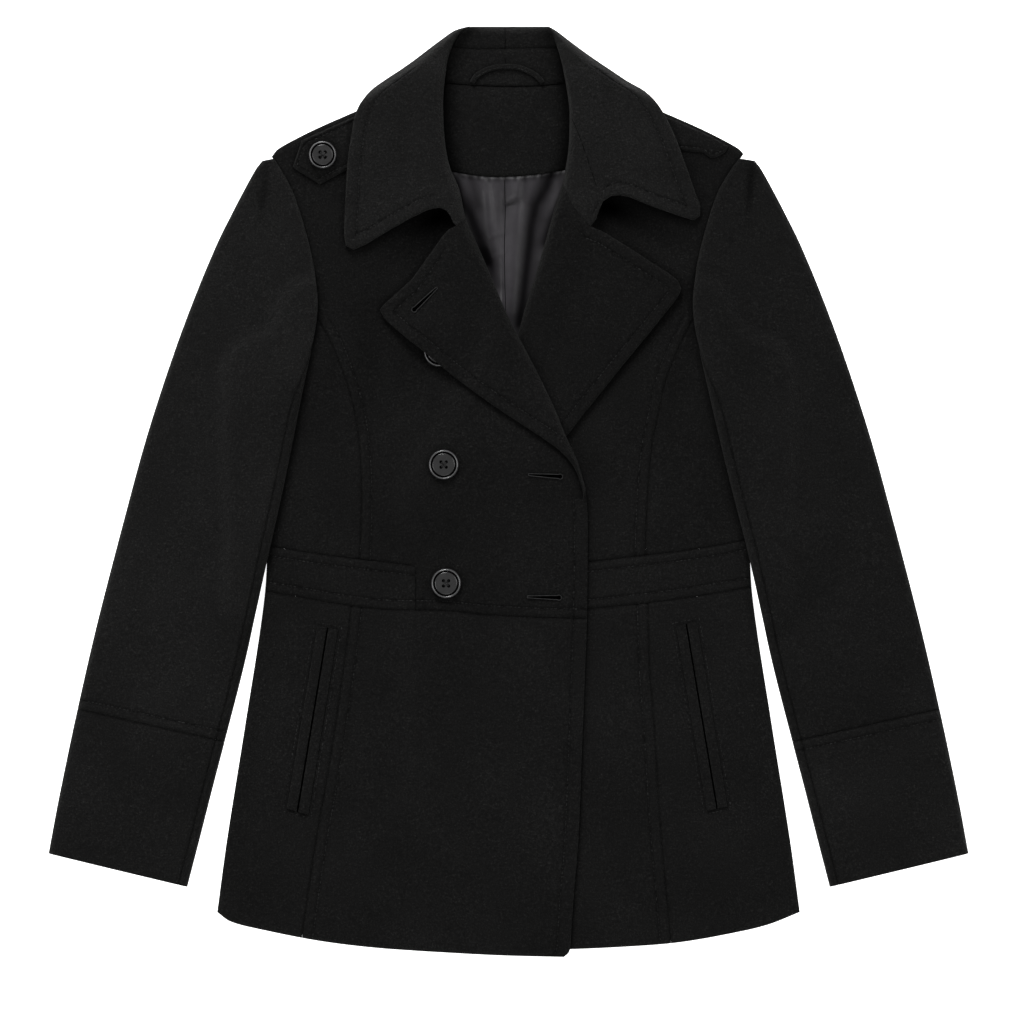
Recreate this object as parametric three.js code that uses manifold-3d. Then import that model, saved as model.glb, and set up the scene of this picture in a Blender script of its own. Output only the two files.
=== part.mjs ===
// A double-breasted pea coat in wool melton, laid flat on its back with its front up.
// Millimetres. The origin is on the surface it lies on, +Z is up, +Y points to the collar and
// +X to the right as one looks down on the coat. side is -1 for the left half and 1 for the right.
import * as THREE from 'three';
import { mergeVertices } from 'three/addons/utils/BufferGeometryUtils.js';
import Module from 'manifold-3d';

// Cloth thicknesses, one row of the pile after another
const GAP = 0.3;
const BACK = 2.6;
const CLOTH = 3;
const TURNED = 4.2;
const FACING = 2.4;
const LINING = 0.9;
const STRAP = 2.6;
const FALL = 4.2;
const NECK_RISE = FALL + GAP;
const STAND_TOP = NECK_RISE + 5.6;
const SLEEVE_WALL = 3.1;
const SLEEVE_HEIGHT = 10;
const SLEEVE_SET = 0.8;

// How the pile swells, rounds and turns
const BODY_LIFT = 1.6;
const RIM = 6;
const ROLL = 9;
const WRAP = 14;
const NECK_WRAP = 9;
const NOTCH_FLOAT = 5.5;
const NOTCH_REACH = 34;
const DRAPE_RUN = 14;
const DRAPE_LEAD = 14;
const REST = 0.5;
const INSET = 0.4;
const TUCK = 7;
const CUT_SIDE = 0.3;
const HIDDEN_MARGIN = 8;
// Cloth over an edge starts down at the lead and takes the run to reach the floor of it
const NECK_DRAPE = [20, 8];
const OVERLAP_DRAPE = [24, 12];
const LAPEL_DRAPE = [56, 10];
const SLEEVE_DRAPE = [18, 24];
const BUTTON_SLOPE = [8, 42];

// Buttons and buttonholes
const BUTTON_RADIUS = 12.5;
const STRAP_BUTTON_RADIUS = 11.5;
const BUTTON_HEIGHT = 4.2;
const HOLE_LENGTH = 30;
const HOLE_SLOT = 1.7;
const HOLE_EYE = 2.9;
const HOLE_RIM = 1.15;
const EYE_TURN = 2.5;
const HOLE_DEPTH = 0.8;
const HOLE_LIFT = 0.7;
const THREAD_HOLE = { radius: 1.1, pitch: 2.3, sides: 6 };
const BUTTON_SIDES = 16;
// The button's section: radius and height as shares, from the middle of its back to its dish
const BUTTON_PROFILE = [[0, 0], [0.9, 0], [1, 0.35], [0.97, 0.8], [0.88, 1], [0.78, 0.96], [0.7, 0.66],
  [0, 0.6]];

const clamp = (t) => Math.min(1, Math.max(0, t));
const mix = (a, b, t) => a + (b - a) * t;
const smooth = (a, b, t) => {
  const s = clamp((t - a) / (b - a));
  return s * s * (3 - 2 * s);
};
// A quarter round: 0 at the rim, 1 from the radius inwards
const quarter = (t) => Math.sqrt(1 - (1 - clamp(t)) ** 2);

// A smooth function through its rows of [argument, value], straight beyond its ends
function table(rows) {
  const last = rows.length - 1;
  const slope = (i) => {
    const a = rows[Math.max(i - 1, 0)];
    const b = rows[Math.min(i + 1, last)];
    return (b[1] - a[1]) / (b[0] - a[0]);
  };
  return (t) => {
    if (t <= rows[0][0]) return rows[0][1] + slope(0) * (t - rows[0][0]);
    if (t >= rows[last][0]) return rows[last][1] + slope(last) * (t - rows[last][0]);
    let i = 0;
    while (rows[i + 1][0] < t) i++;
    const h = rows[i + 1][0] - rows[i][0];
    const s = (t - rows[i][0]) / h;
    const bend = (2 * s - 3) * s * s;
    return (1 + bend) * rows[i][1] - bend * rows[i + 1][1]
      + h * s * (1 - s) * ((1 - s) * slope(i) - s * slope(i + 1));
  };
}

// The same with straight stretches between its rows, for outlines with corners
function steps(rows) {
  return (t) => {
    let i = 0;
    while (i < rows.length - 2 && rows[i + 1][0] < t) i++;
    return mix(rows[i][1], rows[i + 1][1], (t - rows[i][0]) / (rows[i + 1][0] - rows[i][0]));
  };
}

// Outline of the body: half width by height, for both halves
const sideHalf = table([[-353, 244.6], [-293, 236.5], [-192, 220.5], [-91, 205.2], [-45, 202.8],
  [10, 205.3], [60, 207], [97, 206]]);
const armholeHalf = table([[146, 158.2], [165, 158.3], [181, 160], [209, 165.7], [228, 171],
  [252, 179.8], [271, 190.3], [282, 198]]);
// The armhole's lower bend, hidden under the sleeve
const underarmHalf = steps([[97, 206], [99.5, 195], [108, 180], [125, 166], [146, 158.2]]);
const shoulderTable = table([[52, 349], [91, 334.5], [144, 312], [162.5, 303.7], [179.4, 295.3],
  [194, 286.9], [198, 282]]);
// The armhole leans a little to the left and the shoulder line a little to the right
const ARMHOLE_LEAN = -2.7;
const UNDERARM_Y = 146;
const SHOULDER_Y = 282;
const SIDE_TOP_Y = 97;

const leanAt = (y) => ARMHOLE_LEAN * smooth(SIDE_TOP_Y, UNDERARM_Y, y) * (1 - 0.4 * smooth(260, 282, y));
const bodyHalf = (y) => {
  if (y < SIDE_TOP_Y) return sideHalf(y);
  return y < UNDERARM_Y ? underarmHalf(y) : armholeHalf(y);
};
const bodySide = (side) => (y) => side * bodyHalf(y) + leanAt(y);
const shoulderLine = (x) => shoulderTable(Math.abs(x));

// Hems: height by x. The left front is the upper layer and hangs lower
const HEM = {
  [-1]: table([[-244.6, -353], [-233.9, -360.8], [-208.7, -367.5], [-158, -377.4], [-108, -383.4],
    [-57, -386.6], [-7, -389.2], [44, -390.5]]),
  [1]: table([[-60, -385], [43, -384.4], [94, -382.4], [144, -378.4], [194.5, -369.4],
    [219.7, -363], [244.6, -353]]),
};
const backHem = (x) => HEM[1](Math.abs(x)) + 1.5;

// Seams of the fronts: x by height, or height by x
const PRINCESS = {
  [-1]: table([[-56, -124.8], [-14, -123.2], [23, -123.8], [60, -127.8], [92, -136], [125, -148.5],
    [146, -160.9]]),
  [1]: table([[-53, 115], [-26, 115.6], [5, 117.2], [38, 120.3], [60, 124.6], [90, 130.8],
    [118, 141.4], [146, 155.5]]),
};
const BAND_TOP = {
  [-1]: table([[-205, -45.2], [-175, -50], [-150, -53.8], [-125, -56.8], [-77, -62.6]]),
  [1]: table([[-66, -67.6], [68, -59], [109, -54.2], [149, -49.6], [178, -44.8], [205, -39.6]]),
};
const BAND_BOTTOM = {
  [-1]: table([[-207, -83.2], [-175, -88.6], [-131.6, -96], [-101, -99.2], [-70, -99.6],
    [-46, -100.7], [-22, -103.3], [19, -105.6], [66, -106.7]]),
  [1]: table([[-66, -103.6], [68, -98.6], [91, -96.3], [117, -93.5], [155, -88.4], [207, -79.8]]),
};
const SKIRT_SEAM = {
  [-1]: table([[-376, -173.5], [-300, -162.4], [-234, -151], [-158, -139.4], [-96, -131.6]]),
  [1]: table([[-380, 136.5], [-284, 127.8], [-196, 122.2], [-150, 118.6], [-93, 116.8]]),
};
const BAND_END_X = -78.6;

// Front edges and roll lines: x by height. Both roll lines end at the collar's top fold
const BREAK_Y = 2.6;
const frontEdge = table([[-391, 46], [-386, 51.2], [-370, 52.6], [-338, 54.8], [-293, 58.6],
  [-212, 61.9], [-150, 64.3], [-105, 65.9], [-57, 66.4], [-18, 66.2], [2.6, 64.6]]);
const hiddenEdge = table([[-385, -52.5], [-68, -64], [1.3, -64.3]]);
const COLLAR_TOP_Y = 390.6;
const ROLL_LINE = {
  [-1]: table([[2.6, 64.6], [25.5, 57.7], [45.6, 48.5], [69, 39], [101, 23.6], [131.5, 7.6],
    [152, -2.6], [181, -14.7], [206, -25.6], [229, -35.7], [253, -41], [272, -49], [291, -52.9],
    [315, -54.6], [337, -54.2], [356, -51.7], [371, -47.5], [383, -40.7], [390.6, -32.3]]),
  [1]: table([[1.3, -64.3], [39, -38.2], [73, -18.1], [102, -2.9], [132, 7.8], [155, 14.2],
    [177, 21.3], [211, 31.2], [237, 38.4], [258, 45.4], [271, 47.7], [286, 50.1], [309, 51.2],
    [324, 50.7], [350, 46.6], [369, 41.6], [381, 37.4], [390.6, 32.3]]),
};

// Lapels: the lower edge is x by height, the top edge with the gorge is height by x
const LAPEL_EDGE = {
  [-1]: table([[-7, 62.7], [2, 61.8], [17.6, 56.2], [28.6, 48.5], [39.4, 36], [51.8, 17.4],
    [73.5, -15.1], [95.2, -44.6], [117, -71], [133, -91], [145.5, -104.5], [152.5, -107.9]]),
  [1]: table([[-0.4, -62.6], [8, -28.1], [18, 5.5], [30.7, 30.7], [47, 49.1], [66, 63.9],
    [83, 77.9], [103, 93.7], [129, 115.1], [143, 126.4], [163, 142], [169.5, 144.9]]),
};
const LAPEL_TOP = {
  [-1]: steps([[-107.9, 152.5], [-105, 156.6], [-81.1, 177.7], [-59, 208.5], [-51.5, 219],
    [-44.9, 221], [-35.7, 229]]),
  [1]: steps([[45.4, 258], [54.6, 237.7], [62.6, 227.6], [69, 221.8], [78.1, 218.4],
    [100.9, 204.4], [135, 182.4], [143, 176], [144.9, 169.5]]),
};
// Collar wings: the front edge is height by x, the outer edge x by height up to the top fold
const WING_FRONT = {
  [-1]: steps([[-136.4, 206], [-130.2, 202.4], [-119, 207.2], [-100.8, 218.3], [-81.1, 229.3],
    [-66, 236.4], [-57, 237.4], [-51, 234.6], [-48, 229.7], [-44.9, 221.3], [-35.7, 229.3]]),
  [1]: steps([[45.4, 258.6], [55.3, 238.5], [63.3, 228.5], [69.4, 222.9], [73, 226.5], [74.8, 233.1],
    [79.5, 243.5], [88, 248.5], [98, 247.8], [120.8, 238.6], [143.6, 230.7], [155, 227.2],
    [160.6, 231]]),
};
const WING_EDGE = {
  [-1]: table([[206, -136.4], [214, -137.9], [249, -137], [281, -135.1], [303, -131.8],
    [315, -129.8], [326, -125], [338, -115.6], [347, -103.5], [354, -92.9], [362.5, -81],
    [371, -70], [379.3, -59], [387.7, -46.6], [390.6, -36]]),
  [1]: table([[231, 160.6], [239, 161], [250, 157.2], [273.6, 149], [296, 141], [308, 135.6],
    [318.4, 130.2], [328.5, 123.2], [337, 114.4], [345, 101], [354, 87.8], [362.5, 75.2],
    [371, 63.4], [379.3, 52.4], [387.7, 41.4], [390.6, 36]]),
};
// Where each notch opens between lapel and wing, and how the collar floats above it
const NOTCH = { [-1]: [-58, 226], [1]: [82, 232] };

// Inside the neck
const neckSeam = table([[-54, 342.3], [-35, 340.6], [-5, 339.4], [24, 339.8], [52, 342.3]]);
const facingEdge = table([[-66, 271.7], [-46, 268.1], [-23, 264.6], [-3, 264], [24, 265.9],
  [48, 269.9], [67, 274.3]]);
const standSeam = table([[-48, 372.5], [-23, 371], [18, 371.9], [44, 371.7]]);
const LINING_FOOT_Y = 122;
// Soft folds of the lining: centre x at the facing, run of x per mm down, half width, height
const LINING_FOLDS = [
  { x: -34, run: 0.42, width: 7, height: 1.5 },
  { x: -14, run: 0.22, width: 6, height: 0.9 },
  { x: 16, run: -0.1, width: 7, height: 1.2 },
  { x: 34, run: -0.3, width: 6, height: 1.4 },
];
// The collar's fall behind the neck: the part that lies on the floor
const FALL_HALF = 106;
const fallTop = table([[0, 381], [30, 380], [47, 370], [59, 362], [70, 355], [81, 347],
  [93, 338.5], [106, 331]]);
const fallFoot = table([[0, 311], [60, 314.5], [90, 321], [106, 327.5]]);

// Sleeves: one row for each line from the inner edge to the outer edge, from cuff to shoulder.
// lean moves the inner point with the armhole
const SLEEVE = [
  { ix: 270.1, iy: -331.8, ox: 386, oy: -303.7, lean: 0 },
  { ix: 259.6, iy: -291, ox: 378.6, oy: -263.4, lean: 0 },
  { ix: 249.2, iy: -250, ox: 370.4, oy: -223, lean: 0 },
  { ix: 238.8, iy: -210, ox: 361.7, oy: -182.5, lean: 0 },
  { ix: 221.3, iy: -141.5, ox: 345.5, oy: -112, lean: 0 },
  { ix: 202, iy: -54.2, ox: 321.7, oy: -20, lean: 0 },
  { ix: 186.8, iy: 10, ox: 303, oy: 48, lean: 0.4 },
  { ix: 170.5, iy: 85, ox: 281.2, oy: 115, lean: 0.9 },
  { ix: 158.4, iy: 146, ox: 262.6, oy: 165, lean: 1 },
  { ix: 160, iy: 181, ox: 245.5, oy: 206, lean: 1 },
  { ix: 166.6, iy: 213, ox: 233, oy: 231.5, lean: 1 },
  { ix: 178, iy: 248, ox: 221.5, oy: 253.5, lean: 1 },
  { ix: 190.3, iy: 270, ox: 212.3, oy: 270, lean: 0.8 },
  { ix: 196.6, iy: 279.5, ox: 206.6, oy: 277.5, lean: 0.7 },
];
const CUFF_ROW = 3;
const UNDERARM_ROW = 8;
// Seams: half their gap across and along the sleeve, and how far round the lap they lie
const SLEEVE_GAP = 0.35;
const ROW_GAP = 0.004;
const TOP_SEAM_LAP = 10.5;
const ARMHOLE_SEAM_LAP = 4.4;
const FLOOR_SEAM_SHARE = 0.17;
const FULL_RADIUS = 4.5;
const SLEEVE_TYPICAL_WIDTH = 118;
const MARK_MARGIN = 0.012;

// Small pieces on the fronts
const BUTTONS = [
  { name: 'button_top', x: -58.4, y: 117.2 },
  { name: 'button_middle', x: -54.3, y: 22.5 },
  { name: 'button_lower', x: -52.3, y: -77 },
];
const STRAP_BUTTON = { x: -155.7, y: 282.1 };
const BUTTONHOLES = [
  { name: 'buttonhole_upper', x: 30.8, y: 13.2, turn: -3.6, onLapel: false },
  { name: 'buttonhole_lower', x: 29.8, y: -88.7, turn: -1.4, onLapel: false },
  { name: 'buttonhole_lapel', x: -70, y: 161, turn: 224, onLapel: true },
];
// Slanted pockets: top and bottom corners of each pair of welts, nearer the front edge and farther
const POCKET = {
  [-1]: { topFar: [-160.4, -112.7], topNear: [-142.9, -115.8], footFar: [-186.1, -266],
    footNear: [-168, -271.2] },
  [1]: { topFar: [157.8, -109.1], topNear: [140.4, -113], footFar: [183.7, -264.2],
    footNear: [166.3, -267.9] },
};
const WELT_SLIT = 1.2;
const WELT = 1.6;

// Epaulettes: the end, the lower edge and the upper edge, each running in under the collar
const STRAPS = {
  [-1]: {
    end: [[-158.3, 257.5], [-181, 271.7], [-173.5, 294.4]],
    lower: [[-158.3, 257.5], [-136.5, 269.2], [-118, 279]],
    upper: [[-173.5, 294.4], [-129.8, 314.2], [-108, 322]],
  },
  [1]: {
    end: [[182, 284.5], [184.4, 289.4]],
    lower: [[182, 284.5], [175.7, 280.8], [169.9, 279.3], [163, 284.2], [145.5, 285.8], [118, 290]],
    upper: [[184.4, 289.4], [170, 297.6], [146, 308.6], [112, 322]],
  },
};
const LOOP_LINE = [[-30.8, 342.8], [-25.6, 349.4], [-13.9, 354.9], [-1.7, 356.2], [10.5, 354.9],
  [22.6, 349], [28.6, 342.8]];
const LOOP_WIDTH = 3.4;
const LOOP_HEIGHT = 2.8;

// Curves from a corner to another along a function: a and b are corners
const across = (heightAt, a, b) => even((t) => {
  const x = mix(a[0], b[0], t);
  return [x, heightAt(x)];
});
const upright = (xAt, a, b) => even((t) => {
  const y = mix(a[1], b[1], t);
  return [xAt(y), y];
});
const chain = (points) => even((t) => {
  const s = clamp(t) * (points.length - 1);
  const i = Math.min(Math.floor(s), points.length - 2);
  return [0, 1].map((k) => mix(points[i][k], points[i + 1][k], s - i));
});

// The same curve at an even pace along its length
function even(at) {
  const count = 96;
  const points = Array.from({ length: count + 1 }, (_, i) => at(i / count));
  const reach = [0];
  for (let i = 1; i <= count; i++) {
    const [a, b] = [points[i - 1], points[i]];
    reach.push(reach[i - 1] + Math.hypot(b[0] - a[0], b[1] - a[1]));
  }
  return (t) => {
    const s = clamp(t) * reach[count];
    let i = 0;
    while (i < count - 1 && reach[i + 1] < s) i++;
    const k = (s - reach[i]) / (reach[i + 1] - reach[i] || 1);
    return [0, 1].map((j) => mix(points[i][j], points[i + 1][j], k));
  };
}

// The corner where a seam of x by height meets a seam of height by x
function meet(xAt, heightAt, start) {
  let y = start;
  for (let i = 0; i < 40; i++) y = mix(y, heightAt(xAt(y)), 0.7);
  return [xAt(y), y];
}

// A closed outline from curves laid end to end
const outline = (curves, count = 24) => curves.flatMap(
  (c) => Array.from({ length: count }, (_, i) => c(i / count)),
);

// How deep a point lies inside an outline: negative outside it
function depth(points, x, y) {
  let nearest = Infinity;
  let inside = false;
  for (let i = 0, j = points.length - 1; i < points.length; j = i++) {
    const [ax, ay] = points[j];
    const [bx, by] = points[i];
    const length = (bx - ax) ** 2 + (by - ay) ** 2 || 1;
    const t = clamp(((x - ax) * (bx - ax) + (y - ay) * (by - ay)) / length);
    nearest = Math.min(nearest, Math.hypot(x - mix(ax, bx, t), y - mix(ay, by, t)));
    if ((ay > y) !== (by > y) && x < ax + ((bx - ax) * (y - ay)) / (by - ay)) inside = !inside;
  }
  return inside ? nearest : -nearest;
}
// Cloth lying over a region's edge: 1 from a little outside the region, 0 from the run outwards
const drape = (region, x, y, run = DRAPE_RUN, lead = DRAPE_LEAD) => (
  smooth(-lead - run, -lead, depth(region, x, y)));

// Corners of the body, by half
const CORNERS = Object.fromEntries([-1, 1].map((side) => {
  const edge = bodySide(side);
  const front = side < 0 ? frontEdge : hiddenEdge;
  return [side, {
    hemSide: meet(edge, HEM[side], -353),
    bandFootSide: meet(edge, BAND_BOTTOM[side], -83),
    bandTopSide: meet(edge, BAND_TOP[side], -45),
    sideTop: [edge(SIDE_TOP_Y), SIDE_TOP_Y],
    underarm: [edge(UNDERARM_Y), UNDERARM_Y],
    shoulder: [edge(SHOULDER_Y), SHOULDER_Y],
    hemSeam: meet(SKIRT_SEAM[side], HEM[side], -375),
    bandFootSeam: meet(SKIRT_SEAM[side], BAND_BOTTOM[side], -95),
    bandTopSeam: meet(PRINCESS[side], BAND_TOP[side], -55),
    hemFront: meet(front, HEM[side], -388),
    bandFootFront: meet(front, BAND_BOTTOM[side], -104),
    bandTopFront: meet(front, BAND_TOP[side], -66),
    neck: [side * 60, 345.6],
  }];
}));

// The fronts' inner boundary: up the front edge, then tucked in behind the roll line
const frontLine = (side, tuck = TUCK) => {
  const below = side < 0 ? frontEdge : hiddenEdge;
  return (y) => {
    if (y < BREAK_Y) return below(y);
    const roll = ROLL_LINE[side];
    const slant = Math.hypot(1, roll(y + 1) - roll(y));
    return roll(y) + side * tuck * slant * smooth(BREAK_Y - 1, BREAK_Y + 9, y);
  };
};

// Regions that other layers lie on
const bodyRegion = outline([
  across(HEM[-1], CORNERS[-1].hemSide, [45, 0]),
  across(HEM[1], [45, 0], CORNERS[1].hemSide),
  upright(bodySide(1), CORNERS[1].hemSide, CORNERS[1].sideTop),
  upright(bodySide(1), CORNERS[1].sideTop, CORNERS[1].underarm),
  upright(bodySide(1), CORNERS[1].underarm, CORNERS[1].shoulder),
  across(shoulderLine, CORNERS[1].shoulder, [30, 0]),
  across(shoulderLine, [-30, 0], CORNERS[-1].shoulder),
  upright(bodySide(-1), CORNERS[-1].shoulder, CORNERS[-1].underarm),
  upright(bodySide(-1), CORNERS[-1].underarm, CORNERS[-1].sideTop),
  upright(bodySide(-1), CORNERS[-1].sideTop, CORNERS[-1].hemSide),
], 14);
const underSleeve = (side) => [
  ...outline([
    upright(bodySide(side), [0, -90], CORNERS[side].sideTop),
    upright(bodySide(side), CORNERS[side].sideTop, CORNERS[side].underarm),
  ], 12),
  CORNERS[side].underarm,
  [side * 120, 100],
  [side * 120, -90],
];
const neckHole = [
  ...outline([upright((y) => ROLL_LINE[-1](y) - HIDDEN_MARGIN, [0, 345], [0, LINING_FOOT_Y])]),
  ...outline([upright((y) => ROLL_LINE[1](y) + HIDDEN_MARGIN, [0, LINING_FOOT_Y], [0, 345])]),
];
const rightFront = [
  [-52.5, -400], ...outline([upright(frontLine(1, 0), [0, -385], [0, 350])], 40), [300, 350], [300, -400],
];
const lapelRegion = Object.fromEntries([-1, 1].map((side) => [side, outline([
  upright(LAPEL_EDGE[side], [0, side < 0 ? -7 : -0.4], [0, side < 0 ? 152.5 : 169.5]),
  across(LAPEL_TOP[side], [side < 0 ? -107.9 : 144.9, 0], [side < 0 ? -35.7 : 45.4, 0]),
  upright(ROLL_LINE[side], [0, side < 0 ? 229 : 258], [0, side < 0 ? 2.6 : 1.3]),
])]));
const strapRegion = Object.fromEntries([-1, 1].map((side) => [side, [
  ...STRAPS[side].end, ...STRAPS[side].upper.slice(1), ...[...STRAPS[side].lower].reverse().slice(0, -1),
]]));
const sleeveRegion = Object.fromEntries([-1, 1].map((side) => [side, underSleeve(side)]));

// Heights of the layers
const neckRise = (y) => NECK_RISE * smooth(252, 306, y);
const backTop = (y) => BACK + neckRise(y);
const swell = (x, y) => BODY_LIFT * smooth(0, 45, depth(bodyRegion, x, y));
const rim = (x, y) => Math.max(0.28, quarter(depth(bodyRegion, x, y) / RIM));
const rightUnder = (x, y) => backTop(y) + REST + swell(x, y)
  + (FACING + REST) * drape(neckHole, x, y, ...NECK_DRAPE);
const turnGap = (side, x, y) => {
  const [nx, ny] = NOTCH[side];
  return 1.3 + NOTCH_FLOAT * Math.exp(-((x - nx) ** 2 + (y - ny) ** 2) / (2 * NOTCH_REACH ** 2));
};
const leftUnder = (x, y) => rightUnder(x, y) + (CLOTH + REST + 0.2) * drape(rightFront, x, y, ...OVERLAP_DRAPE)
  + (turnGap(1, x, y) + TURNED + REST) * drape(lapelRegion[1], x, y, ...LAPEL_DRAPE);
const under = { [-1]: leftUnder, [1]: rightUnder };
const frontTop = (side, x, y) => under[side](x, y) + CLOTH;
const frontSkin = (side, x, y) => under[side](x, y) + CLOTH * rim(x, y);

// Where a button rests: the highest cloth under its rim
const seat = ({ x, y }, radius) => {
  const turns = Array.from({ length: 16 }, (_, i) => (i * Math.PI) / 8);
  return Math.max(...turns.map((a) => frontTop(-1, x + radius * Math.cos(a), y + radius * Math.sin(a))));
};
// The left lapel lies over the top button and is held up by it
const buttonTop = seat(BUTTONS[0], BUTTON_RADIUS) + GAP + BUTTON_HEIGHT + REST;
const overButton = (x, y) => {
  const distance = Math.hypot(x - BUTTONS[0].x, y - BUTTONS[0].y);
  return 1 - smooth(...BUTTON_SLOPE.map((d) => BUTTON_RADIUS + d), distance);
};
const turnUnder = (side, x, y) => {
  const low = frontTop(side, x, y) + turnGap(side, x, y);
  return side < 0 ? Math.max(low, mix(low, buttonTop, overButton(x, y))) : low;
};
const wingUnder = (side, x, y) => {
  const onFront = turnUnder(side, x, y) + (STRAP + GAP) * drape(strapRegion[side], x, y);
  return mix(onFront, STAND_TOP - TURNED, smooth(338, COLLAR_TOP_Y, y));
};
const rollFoot = (side, x, y) => mix(under[side](x, y), NECK_RISE, smooth(349, 358, y));

const lapelUnder = (side, x, y, edge) => {
  const foot = under[side](x, y);
  const inner = quarter((edge.inner - TURNED) / (ROLL - TURNED));
  return edge.inner < TURNED ? foot : mix(foot, turnUnder(side, x, y), inner);
};
const lapelTop = (side, x, y, edge) => mix(
  under[side](x, y),
  turnUnder(side, x, y) + TURNED,
  Math.max(0.1, quarter(edge.inner / ROLL)),
);

// A wing rolls over at the neck and, past the shoulder line, wraps down to the floor
const wrapShare = (y) => smooth(322, 345, y);
const wingBottom = (side, x, y, edge) => {
  const foot = rollFoot(side, x, y);
  const over = wingUnder(side, x, y);
  const inner = edge.inner < TURNED ? 0 : quarter((edge.inner - TURNED) / (ROLL - TURNED));
  const outer = edge.outer < TURNED ? 0 : quarter((edge.outer - TURNED) / (WRAP - TURNED));
  return mix(foot, over, inner) * mix(1, outer, wrapShare(y));
};
const wingTop = (side, x, y, edge) => {
  const foot = rollFoot(side, x, y);
  const over = wingUnder(side, x, y) + TURNED;
  const inner = Math.max(0.12, quarter(edge.inner / ROLL));
  const outer = Math.max(0.1, quarter(edge.outer / WRAP));
  return mix(foot, over, inner) * mix(1, outer, wrapShare(y));
};

// Colours
const wool = new THREE.MeshStandardMaterial({ color: 0x121213, roughness: 0.95 });
const satin = new THREE.MeshStandardMaterial({ color: 0x45424a, roughness: 0.35 });
const horn = new THREE.MeshStandardMaterial({ color: 0x1a1a1b, roughness: 0.25 });
const thread = new THREE.MeshStandardMaterial({ color: 0x2c2b2c, roughness: 0.8 });

const coat = new THREE.Group();

function add(name, material, geometry) {
  const mesh = new THREE.Mesh(geometry, material);
  mesh.name = name;
  coat.add(mesh);
}

// A closed wall between two grids of points, the outside and the inside
function wall(name, material, outside, inside, flip = false) {
  const rows = outside.length;
  const columns = outside[0].length;
  const positions = [...outside.flat(), ...inside.flat()].flat();
  const index = [];
  const quad = (a, b, c, d) => {
    index.push(...(flip ? [a, c, b, a, d, c] : [a, b, c, a, c, d]));
  };
  const out = (j, i) => j * columns + i;
  const inn = (j, i) => rows * columns + out(j, i);
  for (let j = 0; j < rows - 1; j++) {
    for (let i = 0; i < columns - 1; i++) {
      quad(out(j, i), out(j, i + 1), out(j + 1, i + 1), out(j + 1, i));
      quad(inn(j, i), inn(j + 1, i), inn(j + 1, i + 1), inn(j, i + 1));
    }
    quad(out(j, 0), out(j + 1, 0), inn(j + 1, 0), inn(j, 0));
    quad(out(j + 1, columns - 1), out(j, columns - 1), inn(j, columns - 1), inn(j + 1, columns - 1));
  }
  for (let i = 0; i < columns - 1; i++) {
    quad(out(0, i + 1), out(0, i), inn(0, i), inn(0, i + 1));
    quad(out(rows - 1, i), out(rows - 1, i + 1), inn(rows - 1, i + 1), inn(rows - 1, i));
  }
  const geometry = new THREE.BufferGeometry();
  geometry.setAttribute('position', new THREE.Float32BufferAttribute(positions, 3));
  geometry.setIndex(index);
  add(name, material, mergeVertices(geometry, 1e-4));
}

// Places across a length: rows measured from either end, and even steps between
function ladder(length, start, end, count) {
  const taken = start.at(-1) + end.at(-1);
  const share = Math.min(1, (0.8 * length) / taken);
  const from = start.map((d) => d * share);
  const to = end.map((d) => length - d * share).reverse();
  const middle = [];
  for (let i = 1; i < count; i++) middle.push(mix(from.at(-1), to[0], i / count));
  return [...from, ...middle, ...to];
}

// A panel between four seams, laid between a lower and an upper height. The outer curve is the
// one away from the coat's centre, bottom and top run from it to the inner curve
function panel(name, material, side, seams, grid, lower, upper) {
  const { outer, inner, bottom, top } = seams;
  const corners = [outer(0), inner(0), outer(1), inner(1)];
  const place = (u, v) => [0, 1].map((k) => mix(outer(v)[k], inner(v)[k], u)
    + mix(bottom(u)[k], top(u)[k], v)
    - mix(mix(corners[0][k], corners[1][k], u), mix(corners[2][k], corners[3][k], u), v));
  const span = (a, b) => Math.max(2, Math.hypot(a[0] - b[0], a[1] - b[1]));
  const width = (v) => span(outer(v), inner(v));
  const height = (u) => span(bottom(u), top(u));
  // A cut is a share of the width where the bottom edge steps
  const columnsOf = (wide) => (grid.cut
    ? [...ladder(wide * grid.cut, grid.outer, [CUT_SIDE], grid.acrossToCut),
      ...ladder(wide * (1 - grid.cut), [CUT_SIDE], grid.inner, grid.across).map((d) => d + wide * grid.cut)]
    : ladder(wide, grid.outer, grid.inner, grid.across));
  const columns = columnsOf(width(0.5)).length;
  const rows = ladder(height(0.5), grid.bottom, grid.top, grid.along).length;
  const outside = [];
  const inside = [];
  for (let j = 0; j < rows; j++) {
    const highs = [];
    const lows = [];
    const middle = ladder(height(0.5), grid.bottom, grid.top, grid.along)[j] / height(0.5);
    for (let i = 0; i < columns; i++) {
      const wide = width(middle);
      const u = columnsOf(wide)[i] / wide;
      const tall = height(u);
      const v = ladder(tall, grid.bottom, grid.top, grid.along)[j] / tall;
      const [x, y] = place(u, v);
      const edge = { outer: u * wide, inner: (1 - u) * wide, bottom: v * tall, top: (1 - v) * tall };
      const low = lower(x, y, edge);
      highs.push([x, y, Math.max(upper(x, y, edge), low + 0.4)]);
      lows.push([x, y, low]);
    }
    outside.push(highs);
    inside.push(lows);
  }
  wall(name, material, outside, inside, side > 0);
}

// Rows near an edge: a seam, a silhouette that rounds down, a free edge, a roll, a wrap
const SEAM = [0.15, 1.6];
const CURVED = [0.3, 1.8];
const ROUND = [0.15, 1.2, 3.2, RIM];
const FREE = [0.15, 1.4];
const ROLLED = [0.15, 1.2, TURNED, 6, ROLL];
const WRAPPED = [0.15, 1.4, TURNED, 7, WRAP];

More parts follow.
